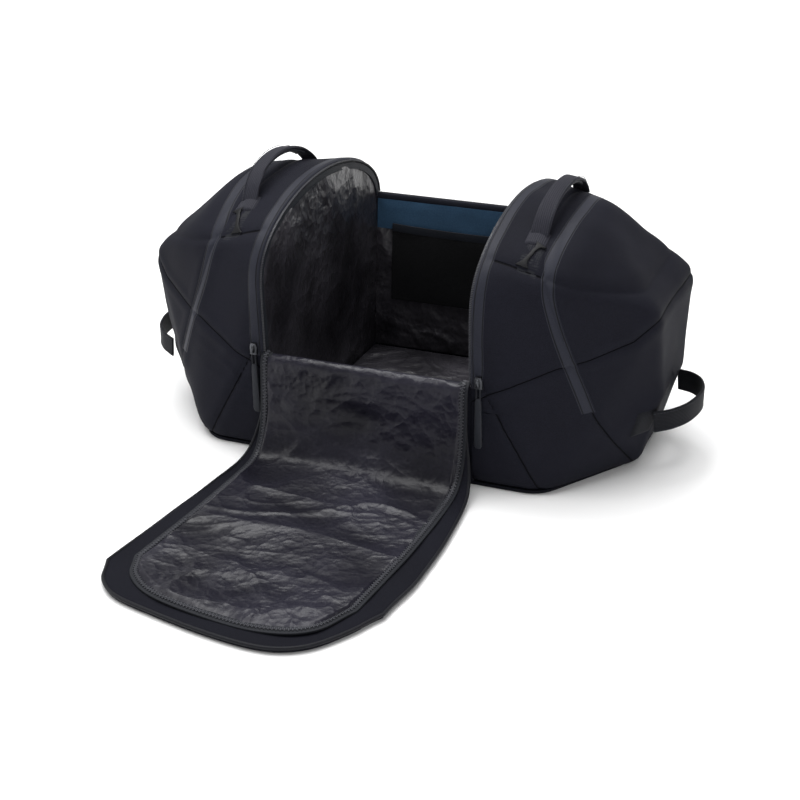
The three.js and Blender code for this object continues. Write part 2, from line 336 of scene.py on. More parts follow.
LOOK["metal"] = metal("dark_metal", (0.05, 0.052, 0.058), 0.34)
LOOK["teeth"] = banded("zip_teeth", (0.045, 0.046, 0.053), 0.32, 900.0)
print(len(LOOK), "finishes")

# %% [markdown]
# ## Mesh helpers
# Most pieces are grids of points: rows along one way of the cloth and columns along the other. One
# function turns a grid into faces, and another gives a sheet its thickness.


# %% From points to objects
def add_mesh(name, points, faces, looks):
    mesh = bpy.data.meshes.new(name)
    mesh.from_pydata([tuple(p) for p in points], [], [tuple(f) for f in faces])
    for look in looks:
        mesh.materials.append(LOOK[look])
    mesh.polygons.foreach_set("use_smooth", [True] * len(mesh.polygons))
    mesh.update()
    made = bpy.data.objects.new(name, mesh)
    bpy.context.collection.objects.link(made)
    return made


def grid_faces(rows, columns, flip=False):
    r, c = np.meshgrid(np.arange(rows - 1), np.arange(columns - 1), indexing="ij")
    a = (r * columns + c).ravel()
    faces = np.stack([a, a + columns, a + columns + 1, a + 1], axis=1)
    return faces[:, ::-1] if flip else faces


def grid_normals(grid):
    down = np.gradient(grid, axis=0)
    over = np.gradient(grid, axis=1)
    normal = np.cross(down, over)
    return normal / np.maximum(np.linalg.norm(normal, axis=2, keepdims=True), 1e-9)


def tidy(piece, merge=0.0):
    work = bmesh.new()
    work.from_mesh(piece.data)
    if merge:
        bmesh.ops.remove_doubles(work, verts=work.verts, dist=merge)
        bmesh.ops.dissolve_degenerate(work, edges=work.edges, dist=merge)
    work.to_mesh(piece.data)
    work.free()
    return piece


def apply_modifier(piece):
    graph = bpy.context.evaluated_depsgraph_get()
    mesh = bpy.data.meshes.new_from_object(piece.evaluated_get(graph))
    piece.modifiers.clear()
    old = piece.data
    piece.data = mesh
    bpy.data.meshes.remove(old)
    return piece


def thicken(piece, thick, offset=-1.0):
    solid = piece.modifiers.new("thickness", "SOLIDIFY")
    solid.thickness = thick
    solid.offset = offset
    solid.use_even_offset = False
    return apply_modifier(piece)


def waves(points, size, seed, count=14):
    """Smooth noise from -1 to 1: a sum of waves in fixed random directions."""
    rng = np.random.default_rng(seed)
    ways = rng.normal(size=(count, 3))
    ways *= 2 * math.pi / (size * np.linalg.norm(ways, axis=1, keepdims=True))
    ways *= rng.uniform(0.6, 1.5, (count, 1))
    shifts = rng.uniform(0, 2 * math.pi, count)
    return np.sin(points @ ways.T + shifts).sum(axis=-1) * math.sqrt(2 / count) * 0.6


def ride(piece, body, *nodes, slot=None):
    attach(piece, body)
    if nodes:
        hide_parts(*nodes)
    return piece


print("helpers ready")

# %% [markdown]
# ## End pockets: one rounded skin
# Each pocket is cut from flat panels, so its form is nearly a faceted solid, but stuffed cloth never
# keeps a sharp edge. The skin is found by looking out from a point on the door's hinge height and
# meeting the solid's flat faces. Relaxing the points then rounds every edge by the same amount.
# The rows of the grid follow the zip, so the door can be parted from the shell along a clean line.


# %% Flat faces of the right pocket's solid form
def flat_faces(*nodes):
    work = bmesh.new()
    for node in nodes:
        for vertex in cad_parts[node].data.vertices:
            work.verts.new(vertex.co)
    bmesh.ops.remove_doubles(work, verts=work.verts, dist=0.2 * MM)
    bmesh.ops.convex_hull(work, input=work.verts)
    work.normal_update()
    faces = [f for f in work.faces if f.calc_area() > 1e-7]
    normals = np.array([f.normal[:] for f in faces])
    places = np.array([f.calc_center_median()[:] for f in faces])
    work.free()
    away = (normals * places).sum(axis=1)
    return normals, away


normals, away = flat_faces("right_pocket_shell", "right_pocket_door", "right_pocket_divider")
outside = normals[:, 0] > -0.9
normals, away = normals[outside], away[outside]
HEART = np.array([200 * MM, 0.0, HINGE])
print(len(normals), "flat faces")


# %% The line of the pocket's zip, seen from the front
ZIP_LINE = np.array([[224, 335], [213, 290], [212, 262], [222, 226], [243, 168], [267, 105]]) * MM


def smooth_line(points, steps=20):
    """A Catmull-Rom curve through points."""
    ends = np.vstack([2 * points[0] - points[1], points, 2 * points[-1] - points[-2]])
    share = np.linspace(0, 1, steps, endpoint=False)[:, None]
    parts = []
    for a, b, c, d in zip(ends, ends[1:], ends[2:], ends[3:]):
        parts.append(
            0.5 * (2 * b + (c - a) * share + (2 * a - 5 * b + 4 * c - d) * share**2
                   + (3 * b - a - 3 * c + d) * share**3))
    return np.vstack(parts + [points[-1:]])


zip_curve = smooth_line(ZIP_LINE)[::-1]


def zip_x(z):
    below = zip_curve[0, 0] + np.maximum(HINGE - z, 0) * 0.38
    return np.where(z < HINGE, below, np.interp(z, zip_curve[:, 1], zip_curve[:, 0]))


# %% Sections of the skin, all with the same number of points between the same features
UPPER, LOWER = 232, 190
SEGMENTS = (("strip", 6), ("shell", 26), ("band_in", 4), ("band_out", 4), ("end", 66))


def section(turn):
    around = np.array([0.0, -math.cos(turn), math.sin(turn)])
    lift = np.radians(np.linspace(-72, 90, 900))
    rays = np.sin(lift)[:, None] * np.array([1.0, 0, 0]) + np.cos(lift)[:, None] * around
    speed = rays @ normals.T
    room = away - normals @ HEART
    reach = np.where(speed > 1e-6, room / np.maximum(speed, 1e-6), np.inf).min(axis=1)
    points = HEART + rays * reach[:, None]
    steps = np.linalg.norm(np.diff(points, axis=0), axis=1)
    length = np.concatenate([[0], np.cumsum(steps)])
    past = points[:, 0] - zip_x(points[:, 2])
    marks = [np.interp(x, points[:, 0], length) for x in (EDGE, EDGE + STRIP)]
    start = np.searchsorted(points[:, 0], EDGE + STRIP)
    for offset in (-BAND_HALF, 0.0, BAND_HALF):
        first = start + int(np.argmax(past[start:] > offset))
        marks.append(length[first])
    marks.append(length[-1])
    rows = []
    for (_, count), a, b in zip(SEGMENTS, marks, marks[1:]):
        rows.append(np.linspace(a, b, count, endpoint=False))
    rows = np.concatenate(rows + [[marks[-1]]])
    return np.stack([np.interp(rows, length, points[:, k]) for k in range(3)], axis=1)


upper_turns = np.linspace(0, math.pi, UPPER + 1)[:-1]
lower_turns = np.linspace(math.pi, 2 * math.pi, LOWER + 1)[:-1]
turns = np.concatenate([upper_turns, lower_turns])
skin = np.array([section(t) for t in turns])
starts = np.concatenate([[0], np.cumsum([count for _, count in SEGMENTS])])
ROW = dict(zip([name for name, _ in SEGMENTS] + ["pole"], starts))
print("skin grid", skin.shape, "rows", ROW)


# %% Relax the skin
def relax(grid, rounds):
    for _ in range(rounds):
        ring = (np.roll(grid, 1, axis=0) + np.roll(grid, -1, axis=0)) / 2
        line = grid.copy()
        line[:, 1:-1] = (grid[:, :-2] + grid[:, 2:]) / 2
        line[:, 0] = grid[:, 0]
        line[:, 0, 1:] = ring[:, 0, 1:]
        grid = 0.5 * grid + 0.25 * ring + 0.25 * line
        grid[:, -1] = grid[:, -2].mean(axis=0)
    return grid


ROUNDS = 26
skin = relax(skin, ROUNDS)
skin[:, 0, 0] = EDGE
skin[..., 2] = np.maximum(skin[..., 2], 4.5 * MM)
print("skin reaches", skin.reshape(-1, 3).min(axis=0).round(3), skin.reshape(-1, 3).max(axis=0).round(3))

# %% [markdown]
# A seam pulls the cloth in along a narrow line and lets it puff beside the line. Each seam is a short
# list of places seen from the front, and the same list serves the back. The signed distance to it is
# stored on the points, and the fabric draws the stitch line from that.

# %% Seams, as (x, z) seen from the front
SEAMS = (
    ((138, 117), (155, 126), (231, 162), (262, 170), (307, 188), (328, 208), (334, 214)),
    ((155, 126), (190, 62), (224, 0)),
    ((267, 113), (287, 60), (306, 0)),
    ((146, 281), (168, 276), (205, 266)),
)


def signed_distance(points, line):
    """Distance to a line of points, negative on its right. The end stretches run on without an end."""
    best = np.full(points.shape[:-1], np.inf)
    signed = best.copy()
    last = len(line) - 2
    for i, (a, b) in enumerate(zip(line, line[1:])):
        way = (b - a) / np.linalg.norm(b - a)
        share = (points - a) @ way
        share = np.clip(share, -1 if i == 0 else 0, 1 if i == last else np.linalg.norm(b - a))
        off = points - a - share[..., None] * way
        apart = np.linalg.norm(off, axis=-1)
        side = np.where(way[0] * off[..., 1] - way[1] * off[..., 0] < 0, -1, 1)
        closer = apart < best
        signed = np.where(closer, apart * side, signed)
        best = np.minimum(best, apart)
    return signed


def seam_distances(grid):
    flat = grid[..., [0, 2]]
    return [signed_distance(flat, np.array(line) * MM) for line in SEAMS]


def dress(grid, seed):
    out = -grid_normals(grid)
    seams = seam_distances(grid)
    gap = np.min(np.abs(seams), axis=0)
    pull = -1.5 * np.exp(-(gap / (2.6 * MM)) ** 2) + 1.1 * np.exp(-((gap - 9 * MM) / (6 * MM)) ** 2)
    sag = waves(grid, 0.16, seed) * 1.5 + waves(grid, 0.07, seed + 1) * 0.5
    near = np.exp(-((grid[..., 2] - 118 * MM) / (45 * MM)) ** 2)
    near *= np.exp(-((grid[..., 0] - EDGE) / (70 * MM)) ** 2)
    crease = (1 - np.abs(waves(grid * [0.5, 1, 1.7], 0.05, seed + 2))) ** 3 * near * 2.6
    fade = np.clip((grid[..., 0] - EDGE) / (14 * MM), 0, 1)
    fade *= np.clip((grid[..., 2] - 4 * MM) / (12 * MM), 0, 1)
    height = (pull + sag + crease) * MM * fade
    return grid + out * height[..., None], seams


# %% Cut one pocket's skin into its cloth pieces
def mirrored(grid, side):
    return grid * [side, 1, 1]


def add_grid(name, grid, looks, side=1, merge=0.05 * MM, **attributes):
    rows, columns = grid.shape[:2]
    faces = grid_faces(rows, columns, flip=side < 0)
    piece = add_mesh(name, mirrored(grid, side).reshape(-1, 3), faces, looks)
    for key, values in attributes.items():
        made = piece.data.attributes.new(key, "FLOAT", "POINT")
        made.data.foreach_set("value", np.broadcast_to(values, grid.shape[:2]).ravel().astype(np.float32))
    return tidy(piece, merge)


def closed_ring(grid):
    return np.concatenate([grid, grid[:1]], axis=0)


SHARP_ANGLE = math.radians(55)


def outward(piece):
    """Turns a closed mesh so that its faces point out, and keeps its cut edges crisp."""
    work = bmesh.new()
    work.from_mesh(piece.data)
    if work.calc_volume(signed=True) < 0:
        bmesh.ops.reverse_faces(work, faces=work.faces)
        work.to_mesh(piece.data)
    work.free()
    piece.data.set_sharp_from_angle(angle=SHARP_ANGLE)
    return piece


def hinge_blend(piece):
    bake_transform(piece)


def pocket(side_name, seed):
    side = SIDES[side_name]
    grid, seams = dress(skin, seed)
    cross, lower, foot, upper = seams
    centre = ROW["end"]
    top = (slice(0, UPPER + 1), slice(0, centre + 1))
    sign = np.sign(upper[UPPER // 4, ROW["shell"] + 20])
    second = np.where(grid[..., 2] > 200 * MM, upper * sign, np.abs(lower))
    shell_top = add_grid(side_name + "_shell_top", grid[top], ["outer"], side, seam=cross[top],
                         other_seam=second[top])
    low = [closed_ring(values)[UPPER:] for values in (grid, lower, foot)]
    shell_low = add_grid(side_name + "_shell_low", low[0], ["outer"], side, seam=low[1], other_seam=low[2])
    out = (slice(0, UPPER + 1), slice(centre, None))
    door = add_grid(side_name + "_door_skin", grid[out], ["outer"], side, seam=cross[out], other_seam=1.0)
    for piece in (shell_top, shell_low, door):
        outward(thicken(piece, CLOTH_THICK))
    ride(shell_top, "bag", side_name + "_pocket_shell", slot="shell_fabric")
    ride(shell_low, "bag", slot="shell_fabric")
    hinge_blend(door)
    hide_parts(side_name + "_pocket_door")
    return grid


SKINS = {name: pocket(name, seed) for name, seed in (("right", 5), ("left", 23))}
print("pockets made")

# %% [markdown]
# ## Raised strips: the pocket's zip band and the storm strip beside the main zip
# Both are flat tapes that lie on the skin. Taking the skin's own rows and lifting them gives a tape
# that fits every curve. The attribute `across` runs from -1 to 1 over a tape, and the finish draws a
# fine dark stitched line near each edge from it.


# %% A tape from rows of the skin
TAPE_LIFT = 1.5 * MM


def tape(name, grid, lift, looks, side, thick=2.2 * MM):
    out = -grid_normals(grid)
    across = np.linspace(-1, 1, grid.shape[1])
    profile = np.clip((1 - np.abs(across)) * 5, 0, 1) ** 0.5
    raised = grid + out * (lift * profile - 0.3 * MM)[None, :, None]
    return outward(thicken(add_grid(name, raised, looks, side, across=across[None, :]), thick))


def resample(grid, columns):
    """The same strip of skin with a set number of evenly spaced points across it."""
    steps = np.linalg.norm(np.diff(grid, axis=1), axis=2)
    length = np.concatenate([np.zeros((len(grid), 1)), np.cumsum(steps, axis=1)], axis=1)
    rows = []
    for line, at in zip(grid, length):
        want = np.linspace(0, at[-1], columns)
        rows.append(np.stack([np.interp(want, at, line[:, k]) for k in range(3)], axis=1))
    return np.array(rows)


for name, side in SIDES.items():
    upper = SKINS[name][: UPPER + 1]
    band = resample(upper[:, ROW["band_in"] : ROW["end"] + 1], 25)
    ride(tape(name + "_zip_band", band, TAPE_LIFT, ["band"], side), "bag", name + "_pocket_zip_band",
         slot="zip_band")
    line = upper[:, 0]
    front = int(np.argmax(line[:, 2] > FOLD_Z))
    back = len(line) - int(np.argmax(line[::-1, 2] > RIM_Z))
    strip = resample(upper[front:back, : ROW["shell"] + 1], 25)
    ride(tape(name + "_storm_strip", strip, TAPE_LIFT, ["band"], side), "bag", name + "_main_zip_tape",
         slot="zip_band")
print("tapes made")

# %% [markdown]
# ## Sweeps
# Piping, webbing, zip tape and handles are all one outline carried along a path. The outline is kept
# square to the path, and `up` says which way its top looks, so flat webbing doesn't twist.


# %% Carry an outline along a path
def unit(vectors):
    vectors = np.asarray(vectors, dtype=float)
    return vectors / np.maximum(np.linalg.norm(vectors, axis=-1, keepdims=True), 1e-9)


def flat_outline(corner=0.35, steps=3):
    """A rectangle from -1 to 1 with rounded corners."""
    points = []
    for sx, sy, start in ((1, 1, 0), (-1, 1, 90), (-1, -1, 180), (1, -1, 270)):
        for turn in np.radians(np.linspace(start, start + 90, steps)):
            points.append((sx * (1 - corner * 0.3) + corner * 0.3 * math.cos(turn),
                           sy * (1 - corner) + corner * math.sin(turn)))
    return np.array(points)


def round_outline(steps=8):
    turns = np.linspace(0, 2 * math.pi, steps, endpoint=False)
    return np.stack([np.cos(turns), np.sin(turns)], axis=1)


def sweep(name, path, up, wide, thick, look, outline=None, side=1):
    path = np.asarray(path, dtype=float)
    outline = flat_outline() if outline is None else outline
    count = len(outline)
    along = unit(np.gradient(path, axis=0))
    up = np.broadcast_to(np.asarray(up, dtype=float), path.shape)
    across = unit(np.cross(along, up))
    up = np.cross(across, along)
    wide = np.broadcast_to(wide, len(path))[:, None, None] / 2
    thick = np.broadcast_to(thick, len(path))[:, None, None] / 2
    rings = path[:, None] + across[:, None] * outline[None, :, :1] * wide
    rings = rings + up[:, None] * outline[None, :, 1:] * thick
    faces = []
    for i in range(len(path) - 1):
        for k in range(count):
            a, b = i * count + k, i * count + (k + 1) % count
            faces.append((a, b, b + count, a + count))
    faces.append(tuple(range(count))[::-1])
    faces.append(tuple(range((len(path) - 1) * count, len(path) * count)))
    piece = add_mesh(name, mirrored(rings.reshape(-1, 3), side), faces, [look])
    return outward(piece)


def even(path, step):
    """The same path with points a set distance apart."""
    path = np.asarray(path, dtype=float)
    length = np.concatenate([[0], np.cumsum(np.linalg.norm(np.diff(path, axis=0), axis=1))])
    want = np.linspace(0, length[-1], max(int(round(length[-1] / step)), 2) + 1)
    return np.stack([np.interp(want, length, path[:, k]) for k in range(path.shape[1])], axis=1)


# %% [markdown]
# ## Zip teeth and stitches: Geometry Nodes
# Teeth and stitches repeat at a fixed pitch along a path. One node tree makes both: it samples the
# path evenly, puts a small block at each sample, turned along the path, and moves every other block
# to one side by the stagger, as the two halves of a zip do.


# %% The tree that repeats a small block along a path
def repeat_tree():
    tree = bpy.data.node_groups.new("repeat_along_path", "GeometryNodeTree")
    sockets = {}
    inputs = {"Path": "Geometry", "Pitch": "Float", "Size": "Vector", "Stagger": "Float"}
    inputs["Finish"] = "Material"
    for name, kind in inputs.items():
        socket = tree.interface.new_socket(name, in_out="INPUT", socket_type="NodeSocket" + kind)
        sockets[name] = socket.identifier
    tree.interface.new_socket("Blocks", in_out="OUTPUT", socket_type="NodeSocketGeometry")

    def node(kind, **settings):
        made = tree.nodes.new(kind)
        for key, value in settings.items():
            setattr(made, key, value)
        return made

    def link(source, target):
        tree.links.new(source, target)

    given, result = node("NodeGroupInput"), node("NodeGroupOutput")
    curve = node("GeometryNodeMeshToCurve")
    sample = node("GeometryNodeResampleCurve", mode="LENGTH")
    link(given.outputs["Path"], curve.inputs["Mesh"])
    link(curve.outputs["Curve"], sample.inputs["Curve"])
    link(given.outputs["Pitch"], sample.inputs["Length"])
    tangent = node("GeometryNodeInputTangent")
    top = node("GeometryNodeInputNamedAttribute", data_type="FLOAT_VECTOR")
    top.inputs["Name"].default_value = "up"
    lengthwise = node("FunctionNodeAlignRotationToVector", axis="X")
    upright = node("FunctionNodeAlignRotationToVector", axis="Z", pivot_axis="X")
    link(tangent.outputs["Tangent"], lengthwise.inputs["Vector"])
    link(lengthwise.outputs["Rotation"], upright.inputs["Rotation"])
    link(top.outputs["Attribute"], upright.inputs["Vector"])
    block = node("GeometryNodeMeshCube")
    link(given.outputs["Size"], block.inputs["Size"])
    place = node("GeometryNodeInstanceOnPoints")
    link(sample.outputs["Curve"], place.inputs["Points"])
    link(block.outputs["Mesh"], place.inputs["Instance"])
    link(upright.outputs["Rotation"], place.inputs["Rotation"])
    index = node("GeometryNodeInputIndex")
    turn = node("ShaderNodeMath", operation="MODULO")
    turn.inputs[1].default_value = 2.0
    centred = node("ShaderNodeMath", operation="SUBTRACT")
    centred.inputs[1].default_value = 0.5
    amount = node("ShaderNodeMath", operation="MULTIPLY")
    aside = node("ShaderNodeCombineXYZ")
    link(index.outputs["Index"], turn.inputs[0])
    link(turn.outputs[0], centred.inputs[0])
    link(centred.outputs[0], amount.inputs[0])
    link(given.outputs["Stagger"], amount.inputs[1])
    link(amount.outputs[0], aside.inputs["Y"])
    shift = node("GeometryNodeTranslateInstances")
    link(place.outputs["Instances"], shift.inputs["Instances"])
    link(aside.outputs["Vector"], shift.inputs["Translation"])
    real = node("GeometryNodeRealizeInstances")
    finish = node("GeometryNodeSetMaterial")
    link(shift.outputs["Instances"], real.inputs["Geometry"])
    link(real.outputs["Geometry"], finish.inputs["Geometry"])
    link(given.outputs["Finish"], finish.inputs["Material"])
    link(finish.outputs["Geometry"], result.inputs["Blocks"])
    return tree, sockets


REPEAT, REPEAT_INPUTS = repeat_tree()


def repeated(name, path, up, pitch, size, stagger, look, side=1):
    path = mirrored(np.asarray(path, dtype=float), side)
    up = mirrored(np.broadcast_to(np.asarray(up, dtype=float), path.shape), side)
    mesh = bpy.data.meshes.new(name)
    mesh.from_pydata([tuple(p) for p in path], [(i, i + 1) for i in range(len(path) - 1)], [])
    top = mesh.attributes.new("up", "FLOAT_VECTOR", "POINT")
    top.data.foreach_set("vector", up.ravel().astype(np.float32))
    piece = bpy.data.objects.new(name, mesh)
    bpy.context.collection.objects.link(piece)
    maker = piece.modifiers.new("repeat", "NODES")
    maker.node_group = REPEAT
    values = {"Pitch": pitch, "Size": size, "Stagger": stagger, "Finish": LOOK[look]}
    for key, value in values.items():
        maker[REPEAT_INPUTS[key]] = value
    return apply_modifier(piece)


TOOTH = (1.25 * MM, 2.6 * MM, 1.5 * MM)
TOOTH_PITCH = 2.1 * MM
STITCH = (2.6 * MM, 0.7 * MM, 0.6 * MM)
STITCH_PITCH = 4.0 * MM
print("repeat tree has", len(REPEAT.nodes), "nodes")

# %% [markdown]
# ## Linings
# A crumpled lining is modelled, not only shaded: ridges of a bent noise field are lifted off the flat
# cloth. Ridges lie where the noise passes through its mean, and bending the field first keeps them
# from looking regular.


# %% Crumple field, from 0 to about 1
def crumple(points, size, seed, warp=0.45):
    bend = np.stack([waves(points, size * 1.9, seed + 7 + k) for k in range(3)], axis=-1)
    bent = points + bend * size * warp
    broad = np.clip(1 - np.abs(waves(bent, size * 1.5, seed)) * 1.2, 0, 1) ** 2.2
    small = np.clip(1 - np.abs(waves(bent, size * 0.62, seed + 3)) * 1.1, 0, 1) ** 2.2
    return broad * 0.68 + small * 0.32


# %% Divider linings, facing the main compartment
def divider_lining(side_name, seed):
    side = SIDES[side_name]
    ring = SKINS[side_name][::2, 0].copy()
    ring = np.concatenate([ring, ring[:1]])
    middle = np.array([EDGE, 0.0, 150 * MM])
    shares = np.concatenate([[1.0, 0.992, 0.982, 0.968], np.linspace(0.95, 0.0, 44)])
    grid = middle + (ring[:, None] - middle) * shares[None, :, None]
    inset = np.clip((1 - shares) / 0.05, 0, 1)[None, :]
    fold = crumple(grid * [1, 1, 0.7], 0.15, seed) ** 1.3
    puff = waves(grid, 0.2, seed + 1)
    lift = (fold * 3.4 + puff * 2.4 + 1.4) * MM * inset
    lift *= np.clip((grid[..., 2] - 14 * MM) / (30 * MM), 0, 1)
    grid[..., 0] -= lift + 0.6 * MM * inset
    piece = outward(thicken(add_grid(side_name + "_divider_lining", grid, ["divider"], side), 1.6 * MM))
    ride(piece, "bag", side_name + "_pocket_divider", slot="coated_lining")
    return piece


for name, seed in (("right", 40), ("left", 61)):
    divider_lining(name, seed)

# %% Binding and zip chain round each divider
for name, side in SIDES.items():
    ring = SKINS[name][: UPPER + 1, 0]
    front = int(np.argmax(ring[:, 2] > FOLD_Z + 2 * MM))
    back = len(ring) - int(np.argmax(ring[::-1, 2] > RIM_Z))
    arch = ring[front:back]
    centre = np.array([EDGE, 0.0, 150 * MM])
    out = unit((arch - centre) * [0, 1, 1])
    edge = even(arch - out * 1.0 * MM + [-1.2 * MM, 0, 0], 4 * MM)
    look_out = unit((edge - centre) * [0, 1, 1])
    ride(sweep(name + "_main_zip_tape_edge", edge, look_out, 7 * MM, 1.6 * MM, "tape", side=side), "bag",
         slot="zip_band")
    chain = edge + look_out * 0.9 * MM + [-2.2 * MM, 0, 0]
    ride(repeated(name + "_main_zip_teeth", chain, look_out, TOOTH_PITCH, TOOTH, 0.0, "teeth", side), "bag",
         slot="zip_band")
    inside = even(arch - out * 7.5 * MM + [-2.6 * MM, 0, 0], 4 * MM)
    ride(sweep(name + "_divider_binding", inside, [-1, 0, 0], 9 * MM, 2.2 * MM, "binding", side=side), "bag",
         slot="zip_band")
print("dividers lined")


# %% [markdown]
# ## Walls and floor of the main compartment
# The low front wall and the tall back wall are quilted sheets: an outer fabric with a thin lining
# inside. Both lean out a little towards the top, so their place comes from one straight line.


# %% Wall panels
SLOPE = (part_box("back_zip_binding")[1][1] - 1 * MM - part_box("base_panel")[1][1]) / RIM_Z
BASE_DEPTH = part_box("base_panel")[1][1]


def wall(name, look, low, high, depth, half, thick, swell, seed, face=1, columns=90, **attributes):
    """A wall panel on the back (face 1) or front (face -1), depth inside the outer face."""
    rows = max(int((high - low) / (3 * MM)), 6)
    z, x = np.meshgrid(np.linspace(low, high, rows), np.linspace(-half, half, columns), indexing="ij")
    y = BASE_DEPTH + SLOPE * z - depth
    grid = np.stack([x, y * face, z], axis=-1)
    from_sides = (half - np.abs(x)) / (12 * MM)
    from_ends = np.minimum(z - low, high - z) / (10 * MM)
    edge = np.clip(np.minimum(from_sides, from_ends), 0, 1)
    grid[..., 1] += swell(grid, seed) * edge * face
    return outward(thicken(add_grid(name, grid, [look], **attributes), thick, 0.0))


def puffed(grid, seed):
    return (waves(grid, 0.15, seed) * 0.9 + waves(grid, 0.05, seed + 1) * 0.3) * MM


def crumpled(grid, seed):
    return -(crumple(grid, 0.07, seed) * 3.6 + waves(grid, 0.12, seed + 1) * 0.8) * MM


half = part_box("front_wall")[1][0]
PLAIN = {"seam": 1.0, "other_seam": 1.0}
WALL_FOOT, LINING_FOOT = 4.6 * MM, 12 * MM
LINING_THICK = 1.2 * MM
front_outer = wall("front_wall_cloth", "outer", WALL_FOOT, FOLD_Z, 1.8 * MM, half, CLOTH_THICK, puffed, 70,
                   -1, **PLAIN)
ride(front_outer, "bag", "front_wall", slot="shell_fabric")
front_inner = wall("front_wall_lining", "wall_lining", LINING_FOOT, FOLD_Z - 1 * MM, 4.6 * MM, half - 1 * MM,
                   LINING_THICK, crumpled, 72, -1)
ride(front_inner, "bag", slot="coated_lining")
back_outer = wall("back_wall_cloth", "outer", WALL_FOOT, RIM_Z - 7 * MM, 1.8 * MM, half, CLOTH_THICK,
                  puffed, 74, **PLAIN)
ride(back_outer, "bag", "back_wall", slot="shell_fabric")
blue_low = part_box("back_blue_lining")[0][2]
blue = wall("back_blue_cloth", "blue", blue_low - 12 * MM, RIM_Z - 8 * MM, 5.4 * MM, half - 2 * MM,
            LINING_THICK, lambda grid, seed: puffed(grid, seed) * 1.3 - 1.2 * MM, 78)
ride(blue, "bag", "back_blue_lining", slot="blue_lining")
inner = wall("back_wall_lining", "wall_lining", LINING_FOOT, blue_low - 8 * MM, 4.8 * MM, half - 1 * MM,
             LINING_THICK, crumpled, 80)
ride(inner, "bag", "back_lining", slot="coated_lining")
net_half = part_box("mesh_pocket")[1][0]
net_low, net_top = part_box("mesh_pocket")[0][2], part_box("mesh_pocket")[1][2]
net = wall("mesh_pocket_net", "net", net_low - 50 * MM, net_top, 9.5 * MM, net_half, 0.8 * MM,
           lambda grid, seed: waves(grid, 0.11, seed) * 1.2 * MM, 83)
ride(net, "bag", "mesh_pocket", slot="mesh")


def level_path(half_length, z, depth, sag=0.0):
    x = np.linspace(-half_length, half_length, 60)
    y = np.full_like(x, BASE_DEPTH + SLOPE * z - depth)
    return np.stack([x, y, z - sag * (1 - (x / half_length) ** 2)], axis=1)


band_z = (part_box("mesh_pocket_binding")[0][2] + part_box("mesh_pocket_binding")[1][2]) / 2
net_path = level_path(net_half, band_z, 9.6 * MM, 3 * MM)
net_band = sweep("mesh_pocket_band", net_path, [0, -1, 0], 11 * MM, 2 * MM, "binding")
ride(net_band, "bag", "mesh_pocket_binding", slot="zip_band")
rim_path = level_path(half, RIM_Z - 4 * MM, 2 * MM)
rim = sweep("back_rim_binding", rim_path, [0, -1, 0], 8 * MM, 6 * MM, "band_plain")
ride(rim, "bag", "back_zip_binding", slot="zip_band")
chain = level_path(half, RIM_Z + 0.6 * MM, 3 * MM)
ride(repeated("back_zip_teeth", chain, [0, 0, 1], TOOTH_PITCH, TOOTH, 0.0, "teeth"), "bag", slot="zip_band")

# %% Floor lining over the board, and the rounded bottom panel
floor_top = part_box("floor_lining")[1][2]
span_x, span_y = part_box("floor_lining")[1][0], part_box("floor_lining")[1][1]
y, x = np.meshgrid(np.linspace(-span_y, span_y, 110), np.linspace(-span_x, span_x, 90), indexing="ij")
grid = np.stack([x, y, np.full_like(x, floor_top)], axis=-1)
edge = np.clip(np.minimum(span_x - np.abs(x), span_y - np.abs(y)) / (12 * MM), 0, 1)
grid[..., 2] += (crumple(grid, 0.08, 90) * 4.0 + waves(grid, 0.15, 91) * 0.8) * MM * edge
ride(outward(thicken(add_grid("floor_cloth", grid, ["wall_lining"]), 1.4 * MM)), "bag", "floor_lining",
     slot="coated_lining")


def rounded_corners(corners, reach, steps=7):
    """Each corner becomes a short curve that starts and ends a set distance from it."""
    points = []
    for before, corner, after in zip(np.roll(corners, 1, axis=0), corners, np.roll(corners, -1, axis=0)):
        start, end = corner + unit(before - corner) * reach, corner + unit(after - corner) * reach
        for share in np.linspace(0, 1, steps):
            points.append((1 - share) ** 2 * start + 2 * share * (1 - share) * corner + share**2 * end)
    return np.array(points)


base = sorted({(round(v.co.x, 5), round(v.co.y, 5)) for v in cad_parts["base_panel"].data.vertices})
base.sort(key=lambda p: math.atan2(p[1], p[0]))
plan = rounded_corners(np.array(base), 24 * MM)
levels = ((-3, 4.8), (-2.5, 2.2), (-4, 0.6), (-7, 0.0))
rings = []
for grow, z in levels:
    scale = 1 + grow * MM / np.linalg.norm(plan, axis=1, keepdims=True)
    rings.append(np.concatenate([plan * scale, np.full((len(plan), 1), z * MM)], axis=1))
count = len(plan)
faces = [(i * count + k, i * count + (k + 1) % count, (i + 1) * count + (k + 1) % count, (i + 1) * count + k)
         for i in range(len(rings) - 1) for k in range(count)]
faces += [tuple(range(count)), tuple(range((len(rings) - 1) * count, len(rings) * count))[::-1]]
# The bottom panel takes the darker copy of the outer fabric: painted shade low by the floor.
bottom = outward(add_mesh("bottom_panel", np.concatenate(rings), faces, ["outer_painted_shade"]))
ride(bottom, "bag", "base_panel", slot="shell_fabric")
print("main compartment made")

# %% [markdown]
# ## The cover, folded open
# The cover is one padded cloth: it hangs from the front wall's top edge, turns at the ground and lies
# flat. Its inside is a loose shiny lining that ends at the zip, and a brim of the outer fabric shows
# beyond the zip. It is made as one grid, lengthwise along the fold and across, and then cut into four
# pieces.

